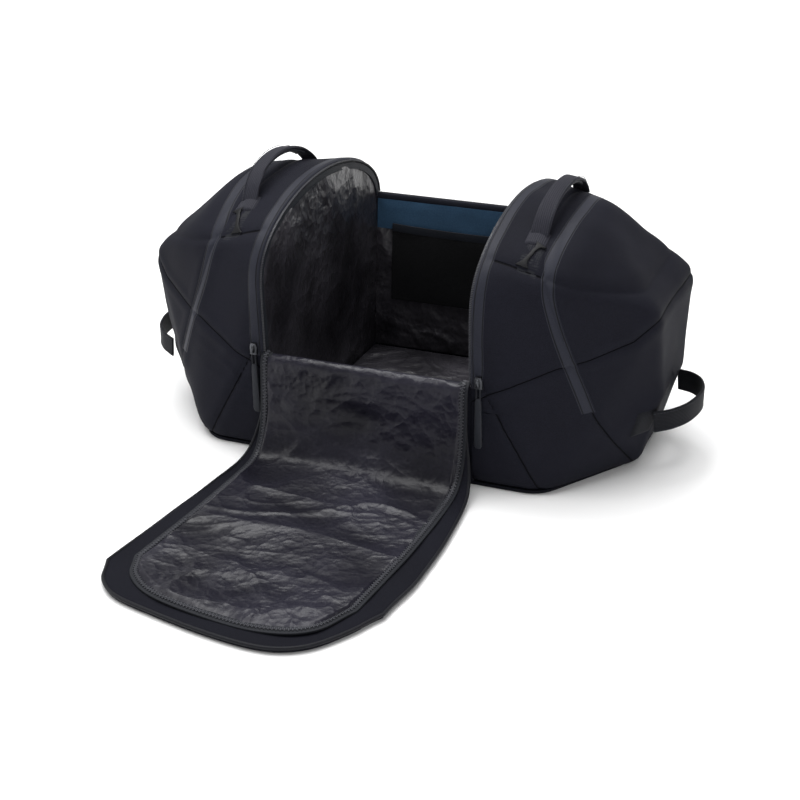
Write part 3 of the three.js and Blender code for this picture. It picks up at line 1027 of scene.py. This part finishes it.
# %% The cover's path and outline
COVER_PATH = np.array([
    (-186.5, 131.5), (-189.5, 134.2), (-193.5, 132.0), (-195.2, 124), (-195.8, 100), (-197.2, 74), (-201, 48),
    (-209, 28), (-222, 14), (-240, 7.4), (-264, 5.6), (-295, 5.6), (-350, 5.6), (-430, 5.6), (-560, 5.6),
    (-700, 5.6)]) * MM
COVER_PATH = even(smooth_line(COVER_PATH, 24), 1 * MM)
COVER_LENGTH = np.concatenate([[0], np.cumsum(np.linalg.norm(np.diff(COVER_PATH, axis=0), axis=1))])
FLOOR_START_Y, FLOOR_END_Y = -226 * MM, -700 * MM
FLOOR_START = float(np.interp(-FLOOR_START_Y, -COVER_PATH[:, 0], COVER_LENGTH))
BRIM_HALF = np.array([(0, 131), (0.07, 133), (0.10, 139), (0.14, 147), (0.19, 153), (0.28, 160), (0.35, 163),
                      (0.40, 162), (0.46, 163), (0.56, 163)])
BRIM_MID = np.array([(0.0, 0), (0.25, 0), (0.35, -5), (0.40, -12), (0.46, -16), (0.56, -16)])
BRIM_END = np.array([(-1, -498), (-0.96, -526), (-0.89, -546), (-0.72, -570), (-0.4, -585), (0.08, -601),
                     (0.47, -604), (0.72, -585), (0.88, -548), (0.97, -516), (1, -490)])
ZIP_HALF = np.array([(0, 128), (0.14, 129), (0.2, 130), (0.30, 131), (0.45, 131), (0.56, 131)])
ZIP_MID = np.array([(0.0, 0), (0.22, -1), (0.30, -4), (0.40, -12), (0.47, -18), (0.56, -20)])
ZIP_END = np.array([(-1, -485), (-0.96, -508), (-0.89, -526), (-0.66, -551), (-0.3, -567), (0.3, -579),
                    (0.66, -573), (0.85, -558), (0.94, -538), (1, -498)])


def eased(table, at):
    """Values from a short table, smoothed so that the outline has no corners."""
    at = np.asarray(at, dtype=float)
    spread = (table[-1, 0] - table[0, 0]) * 0.03
    shifts = np.linspace(-1, 1, 7) * spread
    return np.mean([np.interp(at + shift, table[:, 0], table[:, 1]) for shift in shifts], axis=0)


def on_path(length):
    yz = [np.interp(length, COVER_LENGTH, COVER_PATH[:, k]) for k in (0, 1)]
    return yz[0], yz[1]


def path_normal(length):
    a, b = on_path(length + 0.5 * MM), on_path(length - 0.5 * MM)
    return unit(np.stack([np.zeros_like(length), a[1] - b[1], b[0] - a[0]], axis=-1))


def cover_grid(halves, middles, ends, start, rows, columns):
    t = np.sin(np.linspace(-1, 1, columns) * math.pi / 2 * 0.86) / math.sin(math.pi / 2 * 0.86)
    far_y = eased(smooth_line(ends, 8), t) * MM
    floor_length = FLOOR_START_Y - FLOOR_END_Y
    far = np.interp(far_y, [FLOOR_END_Y, FLOOR_START_Y], [FLOOR_START + floor_length, FLOOR_START])
    share = np.linspace(0, 1, rows)[:, None]
    length = start + (far[None, :] - start) * share
    x = (eased(middles, length) + t[None, :] * eased(halves, length)) * MM
    y, z = on_path(length)
    return np.stack([x, y, z], axis=-1), length


# %% Cut positions and joints
COVER_JOINTS = ("bag", "cover_fold", "cover_lower", "cover_middle", "cover_end")
CUTS = [65 * MM, float(np.interp(260 * MM, -COVER_PATH[:, 0], COVER_LENGTH)),
        float(np.interp(400 * MM, -COVER_PATH[:, 0], COVER_LENGTH))]


def bend(piece, number):
    COVER_JOINTS[number + 1]
    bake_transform(piece)
    return piece


def cover_parts(name, grid, length, look, thick, offset, slot, **attributes):
    """Cuts a grid of the cover across, into four closed pieces."""
    middle = length[:, length.shape[1] // 2]
    rows = [0] + [int(np.argmax(middle > cut)) for cut in CUTS] + [len(middle) - 1]
    made = []
    for number, (a, b) in enumerate(zip(rows, rows[1:])):
        chosen = {key: values[a : b + 1] for key, values in attributes.items()}
        piece = add_grid(f"{name}_{number + 1}", grid[a : b + 1], [look], **chosen)
        outward(thicken(piece, thick, offset))
        bend(piece, number)
        made.append(piece)
    return made


# %% Outer cloth of the cover
grid, length = cover_grid(BRIM_HALF, BRIM_MID, BRIM_END, 0.0, 230, 84)
edge_t = np.abs(np.linspace(-1, 1, grid.shape[1]))[None, :]
far_t = np.clip((length - length[0]) / (length[-1] - length[0]), 0, 1)
rim = np.clip((np.maximum(edge_t, far_t) - 0.955) / 0.045, 0, 1)
puff = (waves(grid, 0.13, 101) * 0.9 + waves(grid, 0.05, 102) * 0.35) * MM
grid = grid + path_normal(length) * (puff * (1 - rim) - rim**2 * 1.2 * MM)[..., None]
# The cover's outer cloth takes the darker copy of the outer fabric: painted shade.
outer = cover_parts("cover_cloth", grid, length, "outer_painted_shade", 4.6 * MM, 0.0, "shell_fabric")
for piece, node in zip(outer, ("fold", "lower", "middle", "end")):
    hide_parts("cover_" + node + "_panel")

# %% Loose lining inside the zip
grid, length = cover_grid(ZIP_HALF, ZIP_MID, ZIP_END, 2 * MM, 300, 150)
steps = [np.minimum(np.arange(n), np.arange(n)[::-1]) for n in grid.shape[:2]]
border = np.clip(np.minimum(steps[0][:, None] * 1.9, steps[1][None, :] * 1.8) * MM / (15 * MM), 0, 1)
border = border * border * (3 - 2 * border)
flat = np.stack([grid[..., 0] * 0.75, length, np.zeros_like(length)], axis=-1)
fold = crumple(flat, 0.14, 110, 0.5) ** 1.4
drift = np.clip(waves(flat, 0.17, 111), -1, 1)
lying = np.clip((length - FLOOR_START) / (60 * MM), 0, 1)
raised = fold * (2.4 + 1.4 * lying) + drift * (0.8 + 2.0 * lying) + 1.8 + lying
turn = np.exp(-((length - FLOOR_START + 20 * MM) / (26 * MM)) ** 2)
raised += turn * 3.5
grid = grid + path_normal(length) * ((2.9 + raised * border) * MM)[..., None]
cover_parts("cover_lining", grid, length, "cover_lining", 1.2 * MM, 1.0, "coated_lining")

# %% Stitched line across the lining, near its far end
row = int(len(grid) * 0.885)
across = slice(6, -6)
line = grid[row, across] + path_normal(length[row, across]) * 0.9 * MM
line = even(line, 3 * MM)
seam_line = repeated("cover_cross_stitches", line, [0, 0, 1], STITCH_PITCH, STITCH, 0.0, "thread")
bend(seam_line, 3)

# %% Zip tape and chain round the lining, and piping on the brim
ZIP_EDGE = cover_grid(ZIP_HALF, ZIP_MID, ZIP_END, 4 * MM, 140, 90)
BRIM_EDGE = cover_grid(BRIM_HALF, BRIM_MID, BRIM_END, 0.0, 140, 90)


def round_the_edge(made, lift):
    """The right edge, the far end and the left edge of a cover grid as one path, lifted off the cloth."""
    grid, length = made
    points = np.concatenate([grid[:, -1], grid[-1, ::-1][1:-1], grid[::-1, 0]])
    along = np.concatenate([length[:, -1], length[-1, ::-1][1:-1], length[::-1, 0]])
    normal = path_normal(along)
    return points + normal * lift, normal, along


def along_cover(name, points, normal, along, make):
    """Cuts a path at the same places as the cover and makes one piece from each run."""
    number = np.searchsorted(CUTS, along)
    starts = [0] + [i for i in range(1, len(number)) if number[i] != number[i - 1]] + [len(number)]
    for order, (a, b) in enumerate(zip(starts, starts[1:])):
        end = min(b + 1, len(points))
        if end - a > 2:
            piece = make(f"{name}_{order + 1}", points[a:end], normal[a:end])
            bend(piece, int(number[a]))


def cover_tape(name, path, up):
    return sweep(name, path, up, 13 * MM, 2.6 * MM, "tape")


def cover_teeth(name, path, up):
    return repeated(name, path, up, TOOTH_PITCH, (1.25 * MM, 4.2 * MM, 1.7 * MM), 1.6 * MM, "teeth")


def cover_piping(name, path, up):
    return sweep(name, path, up, 4.2 * MM, 4.2 * MM, "piping", round_outline(8))


along_cover("cover_zip_tape", *round_the_edge(ZIP_EDGE, 4.0 * MM), cover_tape)
along_cover("cover_zip_teeth", *round_the_edge(ZIP_EDGE, 6.0 * MM), cover_teeth)
along_cover("cover_edge_piping", *round_the_edge(BRIM_EDGE, 1.2 * MM), cover_piping)
print("cover made")

# %% [markdown]
# ## Carry handles, their sewn feet and the lash patches
# Webbing that is sewn down follows the cloth under it. Rays are cast onto the pocket's skin from
# outside, and each hit is lifted along the skin's normal, so a foot or patch lies on the curve.


# %% Lay a strip of webbing on the skin
def skin_tree(side_name):
    grid = closed_ring(SKINS[side_name])
    faces = grid_faces(*grid.shape[:2])
    return BVHTree.FromPolygons([tuple(p) for p in grid.reshape(-1, 3)], [tuple(f) for f in faces.tolist()])


TREES = {name: skin_tree(name) for name in SIDES}


def on_skin(side_name, origins, way, lift):
    """Where rays from the origins meet the skin, lifted off it, with the skin's outward normals."""
    places, tops = [], []
    for origin in np.asarray(origins, dtype=float).reshape(-1, 3):
        hit, normal, _, _ = TREES[side_name].ray_cast(Vector(origin), Vector(way))
        normal = -normal if normal.dot(Vector(way)) > 0 else normal
        places.append(hit + normal * lift)
        tops.append(normal)
    return np.array(places), np.array(tops)


def laid_strip(name, side_name, first, second, origin_of, way, lift, thick, look):
    """A closed strip over first × second places, whose edge turns down to the cloth."""
    u, v = np.meshgrid(first, second, indexing="ij")
    origins = origin_of(u, v)
    places, tops = on_skin(side_name, origins, way, 0.0)
    grid, tops = places.reshape(*u.shape, 3), tops.reshape(*u.shape, 3)
    rows, columns = [np.minimum(np.arange(n), np.arange(n)[::-1]) for n in u.shape]
    edge = np.clip(np.minimum(rows[:, None], columns[None, :]) / 1.5, 0, 1) ** 0.6
    grid = grid + tops * (lift * (0.35 + 0.65 * edge))[..., None]
    piece = add_grid(name, grid, [look], SIDES[side_name])
    return outward(thicken(piece, thick))


def stitched(name, side_name, corners, origin_of, way, lift):
    """Stitches on the skin round a closed outline of (first, second) places."""
    outline = even(np.array(list(corners) + [corners[0]], dtype=float), 1.5 * MM)
    places, tops = on_skin(side_name, origin_of(outline[:, 0], outline[:, 1]), way, lift)
    return repeated(name, places, tops, STITCH_PITCH, STITCH, 0.0, "thread", SIDES[side_name])


def from_above(u, v):
    return np.stack([u, v, np.full_like(u, 0.5)], axis=-1)


def from_end(u, v):
    return np.stack([np.full_like(u, 0.5), u, v], axis=-1)


def spot(*values):
    return np.array(values, dtype=float) * MM


# %% Top handles
HANDLE_X = (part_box("right_top_handle")[0][0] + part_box("right_top_handle")[1][0]) / 2
HANDLE_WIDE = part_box("right_top_handle")[1][0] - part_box("right_top_handle")[0][0]
HANDLE_PATH = spot((-106, 302), (-101, 310), (-91, 321.5), (-72, 333), (-45, 340), (-15, 342), (15, 339),
                   (42, 331), (61, 320.5), (73, 311.5), (79, 305))
DOWN, INWARD = (0, 0, -1), (-1, 0, 0)
FOOT_LIFT, FOOT_THICK = 3.0 * MM, 2.6 * MM
ON_FOOT = 3.4 * MM


def top_handle(name):
    side = SIDES[name]
    yz = even(smooth_line(HANDLE_PATH, 12), 3 * MM)
    lean = np.sin(np.linspace(0, math.pi, len(yz))) * 4 * MM
    path = np.stack([HANDLE_X + lean, yz[:, 0], yz[:, 1]], axis=1)
    share = np.sin(np.linspace(0, math.pi, len(path))) ** 1.5
    up = unit(path - [HANDLE_X - 12 * MM, -15 * MM, 215 * MM])
    grip = sweep(name + "_handle_grip", path, up, HANDLE_WIDE * (1 - 0.12 * share), (3.0 + 1.6 * share) * MM,
                 "web_y", flat_outline(0.8, 4), side)
    ride(grip, name + "_top_handle", name + "_top_handle", slot="webbing")
    middle = slice(len(path) // 6, -len(path) // 6)
    under = (path - up * 3.4 * MM)[middle]
    pad = sweep(name + "_handle_pad", under, up[middle], 15 * MM, 4.2 * MM, "binding",
                flat_outline(1.0, 5), side)
    ride(pad, name + "_top_handle", slot="webbing")
    for word, edge in (("inner", -1), ("outer", 1)):
        offset = path + [edge * (HANDLE_WIDE / 2 - 2.4 * MM), 0, 0] + up * ((1.7 + 0.9 * share) * MM)[:, None]
        stitch = repeated(f"{name}_handle_stitches_{word}", offset, up, STITCH_PITCH, STITCH, 0.0,
                          "thread", side)
        ride(stitch, name + "_top_handle", slot="webbing")


def handle_feet(name):
    low, high = HANDLE_X - HANDLE_WIDE / 2, HANDLE_X + HANDLE_WIDE / 2
    xs = np.linspace(low - 0.5 * MM, high + 0.5 * MM, 13)
    feet = (("front", np.linspace(-98, -121, 24) * MM), ("back", np.linspace(72, 106, 24) * MM))
    for place, ys in feet:
        foot = laid_strip(f"{name}_top_foot_{place}", name, xs, ys, from_above, DOWN, FOOT_LIFT, FOOT_THICK,
                          "web_y")
        ride(foot, "bag", f"{name}_top_handle_foot_{place}", slot="webbing")
        a, b = sorted((ys[-1], ys[-1] + (ys[0] - ys[-1]) * 0.62))
        left, right, near = low + 2.5 * MM, high - 2.5 * MM, a + 3 * MM
        box = ((left, near), (right, near), (right, b), (left, b))
        stitch = stitched(f"{name}_top_foot_stitches_{place}", name, box, from_above, DOWN, ON_FOOT)
        ride(stitch, "bag", slot="webbing")


def lash_patch(name):
    xs = np.linspace(HANDLE_X - 15 * MM, HANDLE_X + 15 * MM, 16)
    ys = np.linspace(-112, -162, 32) * MM
    patch = laid_strip(name + "_lash_base", name, xs, ys, from_above, DOWN, 1.4 * MM, 1.6 * MM, "patch")
    ride(patch, "bag", name + "_lash_patch", slot="webbing")
    # The I-shaped bar is the lash loop, and its near-black colour is painted shade: the shade under the loop.
    a, b = spot(194, -121), spot(182, -152)
    steps = np.linspace(0, 1, 26)
    line = a + (b - a) * steps[:, None]
    places, tops = on_skin(name, from_above(line[:, 0], line[:, 1]), DOWN, 4.0 * MM)
    flare = 4.6 + 12.0 * np.abs(2 * steps - 1) ** 5
    loop_shade = sweep(name + "_lash_bar", places, tops, flare * MM, 2.4 * MM, "loop_shade", flat_outline(0.7, 4),
                SIDES[name])
    ride(loop_shade, "bag", slot="webbing")
    edge = ((xs[0] + 2 * MM, -137 * MM), (xs[-1] - 2 * MM, -137 * MM), (xs[-1] - 2 * MM, ys[-1] + 3 * MM),
            (xs[0] + 2 * MM, ys[-1] + 3 * MM))
    ride(stitched(name + "_lash_stitches", name, edge, from_above, DOWN, 1.7 * MM), "bag", slot="webbing")


for name in SIDES:
    top_handle(name)
    handle_feet(name)
    lash_patch(name)
print("top handles made")

# %% End handles and eyelets
END_Z = (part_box("right_end_handle")[0][2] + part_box("right_end_handle")[1][2]) / 2
END_PATH = spot((331, -71), (337, -68), (352, -58), (367, -36), (374.5, 0), (367, 36), (352, 58), (337, 68),
                (331, 71))


def end_handle(name):
    side = SIDES[name]
    xy = even(smooth_line(END_PATH, 14), 3 * MM)
    share = np.sin(np.linspace(0, math.pi, len(xy)))
    path = np.stack([xy[:, 0], xy[:, 1], END_Z + 7 * MM * share], axis=1)
    up = unit(np.stack([xy[:, 0] - 300 * MM, xy[:, 1] * 0.55, np.zeros(len(xy))], axis=1))
    thick = (3.0 + 1.2 * share) * MM
    loop = sweep(name + "_end_loop", path, up, 28 * MM, thick, "web_z", flat_outline(0.7, 4), side)
    ride(loop, name + "_end_handle", name + "_end_handle", slot="webbing")
    for word, edge in (("low", -1), ("high", 1)):
        offset = path + [0, 0, edge * 11.5 * MM] + up * 2.0 * MM
        stitch = repeated(f"{name}_end_stitches_{word}", offset, up, STITCH_PITCH, STITCH, 0.0,
                          "thread", side)
        ride(stitch, name + "_end_handle", slot="webbing")
    zs = np.linspace(END_Z - 15 * MM, END_Z + 15 * MM, 16)
    for place, ys in (("front", np.linspace(-60, -86, 18) * MM), ("back", np.linspace(60, 86, 18) * MM)):
        foot = laid_strip(f"{name}_end_foot_{place}", name, ys, zs, from_end, INWARD, FOOT_LIFT, FOOT_THICK,
                          "web_z")
        ride(foot, "bag", f"{name}_end_handle_foot_{place}", slot="webbing")
        a, b = ys[-1] * 0.965, ys[6]
        box = ((a, zs[0] + 3 * MM), (b, zs[0] + 3 * MM), (b, zs[-1] - 3 * MM), (a, zs[-1] - 3 * MM))
        stitch = stitched(f"{name}_end_foot_stitches_{place}", name, box, from_end, INWARD, ON_FOOT)
        ride(stitch, "bag", slot="webbing")


def eyelet(name):
    centre = [(a + b) / 2 for a, b in zip(*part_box("right_end_stud"))]
    places, tops = on_skin(name, [[0.5, centre[1], centre[2]]], INWARD, 0.6 * MM)
    place, top = places[0], tops[0]
    level = unit(np.cross(top, [0, 0, 1]))
    turn = np.linspace(0, 2 * math.pi, 41)
    circle = place + 5.0 * MM * (np.cos(turn)[:, None] * level + np.sin(turn)[:, None] * np.cross(top, level))
    side = SIDES[name]
    ring = sweep(name + "_eyelet_ring", circle, top, 3.4 * MM, 2.6 * MM, "metal", round_outline(10), side)
    ride(ring, "bag", name + "_end_stud", slot="dark_metal")
    plug = np.array([place - top * 1.2 * MM, place - top * 0.2 * MM, place + top * 0.1 * MM])
    dark = sweep(name + "_eyelet_hole", plug, level, 7.4 * MM, 7.4 * MM, "binding", round_outline(24), side)
    ride(dark, "bag", slot="dark_metal")


for name in SIDES:
    end_handle(name)
    eyelet(name)
print("end handles made")

# %% [markdown]
# ## Sliders and pullers
# A slider is a small cast body with a bridge on top. A loop of cord hangs from the bridge, and a
# moulded tab grips the cord's ends. Each one is drawn in its own small frame: across, along the
# zip's track and out from the cloth.


# %% One slider and one puller
def slider(name, middle, track, outward_way, side):
    across = unit(np.cross(track, outward_way))
    length, wide, thick = 15 * MM, 10 * MM, 5.4 * MM
    steps = np.linspace(-0.5, 0.5, 13)[:, None]
    shape = wide * (1 - 0.35 * np.clip(steps[:, 0] * 2, 0, 1) ** 2)
    core = sweep(name + "_body", middle + track * steps * length, outward_way, shape, thick, "metal",
                 flat_outline(0.9, 5), side)
    ride(core, name, name, slot="dark_metal")
    turn = np.linspace(0, math.pi, 13)[:, None]
    arc = middle + outward_way * (thick * 0.35 + np.sin(turn) * 3.6 * MM) - track * np.cos(turn) * 5 * MM
    bridge = sweep(name + "_bridge", arc, across, 1.8 * MM, 3.6 * MM, "metal", round_outline(8), side)
    ride(bridge, name, slot="dark_metal")


def puller(name, top, down, outward_way, length, wide, side):
    across = unit(np.cross(down, outward_way))
    turn = np.linspace(-math.pi / 2, math.pi / 2, 15)[:, None]
    loop = top + across * np.sin(turn) * 2.3 * MM - down * np.cos(turn) * 3.0 * MM
    legs = np.linspace(16, 1, 6)[:, None] * MM
    one, other = top - across * 2.3 * MM, top + across * 2.3 * MM
    path = np.concatenate([one + down * legs, loop, other + down * legs[::-1]])
    cord = sweep(name + "_cord", path, outward_way, 2.6 * MM, 2.6 * MM, "cord", round_outline(8), side)
    ride(cord, name, slot="puller_rubber")
    share = np.linspace(0, 1, 28)
    path = top + down * (11 * MM + (length - 11 * MM) * share)[:, None]
    ends = np.clip(np.minimum(share, 1 - share) / 0.07, 0, 1) ** 0.5
    shape = wide * (0.72 + 0.28 * share) * (0.55 + 0.45 * ends)
    grip = 1 + 0.10 * np.sin(share * math.pi * 2 * 7) * ((share > 0.3) & (share < 0.88))
    tab = sweep(name + "_tab", path, outward_way, shape, 3.8 * MM * (0.6 + 0.4 * ends) * grip, "rubber",
                flat_outline(0.8, 4), side)
    ride(tab, name, name, slot="puller_rubber")


def middle_of(node):
    low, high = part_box(node)
    return (np.array(low) + np.array(high)) / 2


for name, side in SIDES.items():
    out = unit([0, -1, -SLOPE])
    track = unit([0, -SLOPE, 1])
    slider(name + "_main_slider", middle_of("right_main_slider"), track, out, side)
    low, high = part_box("right_main_puller")
    top = np.array([(low[0] + high[0]) / 2, low[1] + 0.8 * MM, high[2] + 2 * MM])
    puller(name + "_main_puller", top, unit([0, SLOPE, -1]), out, top[2] - low[2], 10.5 * MM, side)
    track = unit([-17, 4.2, 48])
    out = unit([0.82, 0.52, 0.24])
    slider(name + "_pocket_slider", middle_of("right_pocket_slider"), track, out, side)
    low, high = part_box("right_pocket_puller")
    top = np.array([*middle_of("right_pocket_puller")[:2], high[2]])
    out = unit([0.847, 0.532, 0])
    puller(name + "_pocket_puller", top, np.array([0.0, 0, -1]), out, high[2] - low[2], 7.5 * MM, side)

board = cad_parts["base_board"]
for index in range(max(len(board.material_slots), 1)):
    if not board.material_slots:
        board.data.materials.append(LOOK["board"])
    board.material_slots[index].material = LOOK["board"]
print("sliders made")

# %% [markdown]
# ## Floor, light and camera
# A plain pale floor, one broad light from above and three soft ones, in a surround that is bright near
# the horizon and dimmer overhead. The camera looks down at the bag from its front right, with a long
# lens, so that upright edges stay nearly parallel.

# %% Studio
bpy.ops.mesh.primitive_plane_add(size=60)
floor = bpy.context.object
floor.name = "studio_floor"
paper, paper_shader = material("floor_paper", (0.93, 0.93, 0.93), 0.9, specular=0.1)
speckle = object_space(paper).noise(3.0, 2.0).mix((0.925, 0.925, 0.925), (0.94, 0.94, 0.94))
feed(paper, paper_shader, Base_Color=speckle)
floor.data.materials.append(paper)

world = bpy.data.worlds.new("studio")
world.use_nodes = True
world.node_tree.nodes["Background"].inputs["Color"].default_value = (1, 1, 1, 1)
walls = world.node_tree.nodes.new("ShaderNodeTexCoord").outputs["Generated"]
level = Flow(world.node_tree, walls).node("ShaderNodeSeparateXYZ", {}, Flow(world.node_tree, walls))
height = Flow(world.node_tree, level.socket.node.outputs["Z"])
WALL_LIGHT, CEILING_LIGHT = 1.0, 0.28
strength = (1 - height.step(0.05, 0.3)) * (WALL_LIGHT - CEILING_LIGHT) + CEILING_LIGHT
world.node_tree.links.new(strength.socket, world.node_tree.nodes["Background"].inputs["Strength"])
bpy.context.scene.world = world
bpy.context.scene.view_settings.view_transform = "Standard"


def add_lamp(name, lamp, place, aim):
    made = bpy.data.objects.new(name, lamp)
    made.location = place
    made.rotation_euler = (Vector(aim) - Vector(place)).to_track_quat("-Z", "Y").to_euler()
    bpy.context.collection.objects.link(made)


def soft_light(name, place, aim, size, watts):
    lamp = bpy.data.lights.new(name, "AREA")
    lamp.shape = "RECTANGLE"
    lamp.size, lamp.size_y = size
    lamp.energy = watts
    add_lamp(name, lamp, place, aim)


sky = bpy.data.lights.new("even_light", "SUN")
sky.energy = 3.1
sky.angle = math.radians(60)
add_lamp("even_light", sky, (-0.5, 0.4, 3.0), (0, 0, 0))
soft_light("top_light", (-0.5, 0.5, 1.9), (0, -0.1, 0.1), (1.4, 0.6), 16)
soft_light("front_light", (1.5, -2.0, 1.7), (0, -0.1, 0.1), (0.9, 0.9), 13)
soft_light("left_light", (-2.0, -0.9, 1.2), (0, -0.1, 0.15), (0.6, 1.2), 10)

# %% Camera
AZIMUTH, ELEVATION = math.radians(21.3), math.radians(24.3)
DISTANCE = 2.106
AIM = Vector((-0.0281, 0, 0.0109))
flat = math.cos(ELEVATION)
back = Vector((math.sin(AZIMUTH) * flat, -math.cos(AZIMUTH) * flat, math.sin(ELEVATION)))
lens = bpy.data.cameras.new("camera")
lens.sensor_width = 36
lens.lens = 70.33
camera = bpy.data.objects.new("camera", lens)
camera.location = AIM + back * DISTANCE
camera.rotation_euler = back.to_track_quat("Z", "Y").to_euler()
bpy.context.collection.objects.link(camera)
bpy.context.scene.camera = camera
print("camera at", [round(v, 3) for v in camera.location])
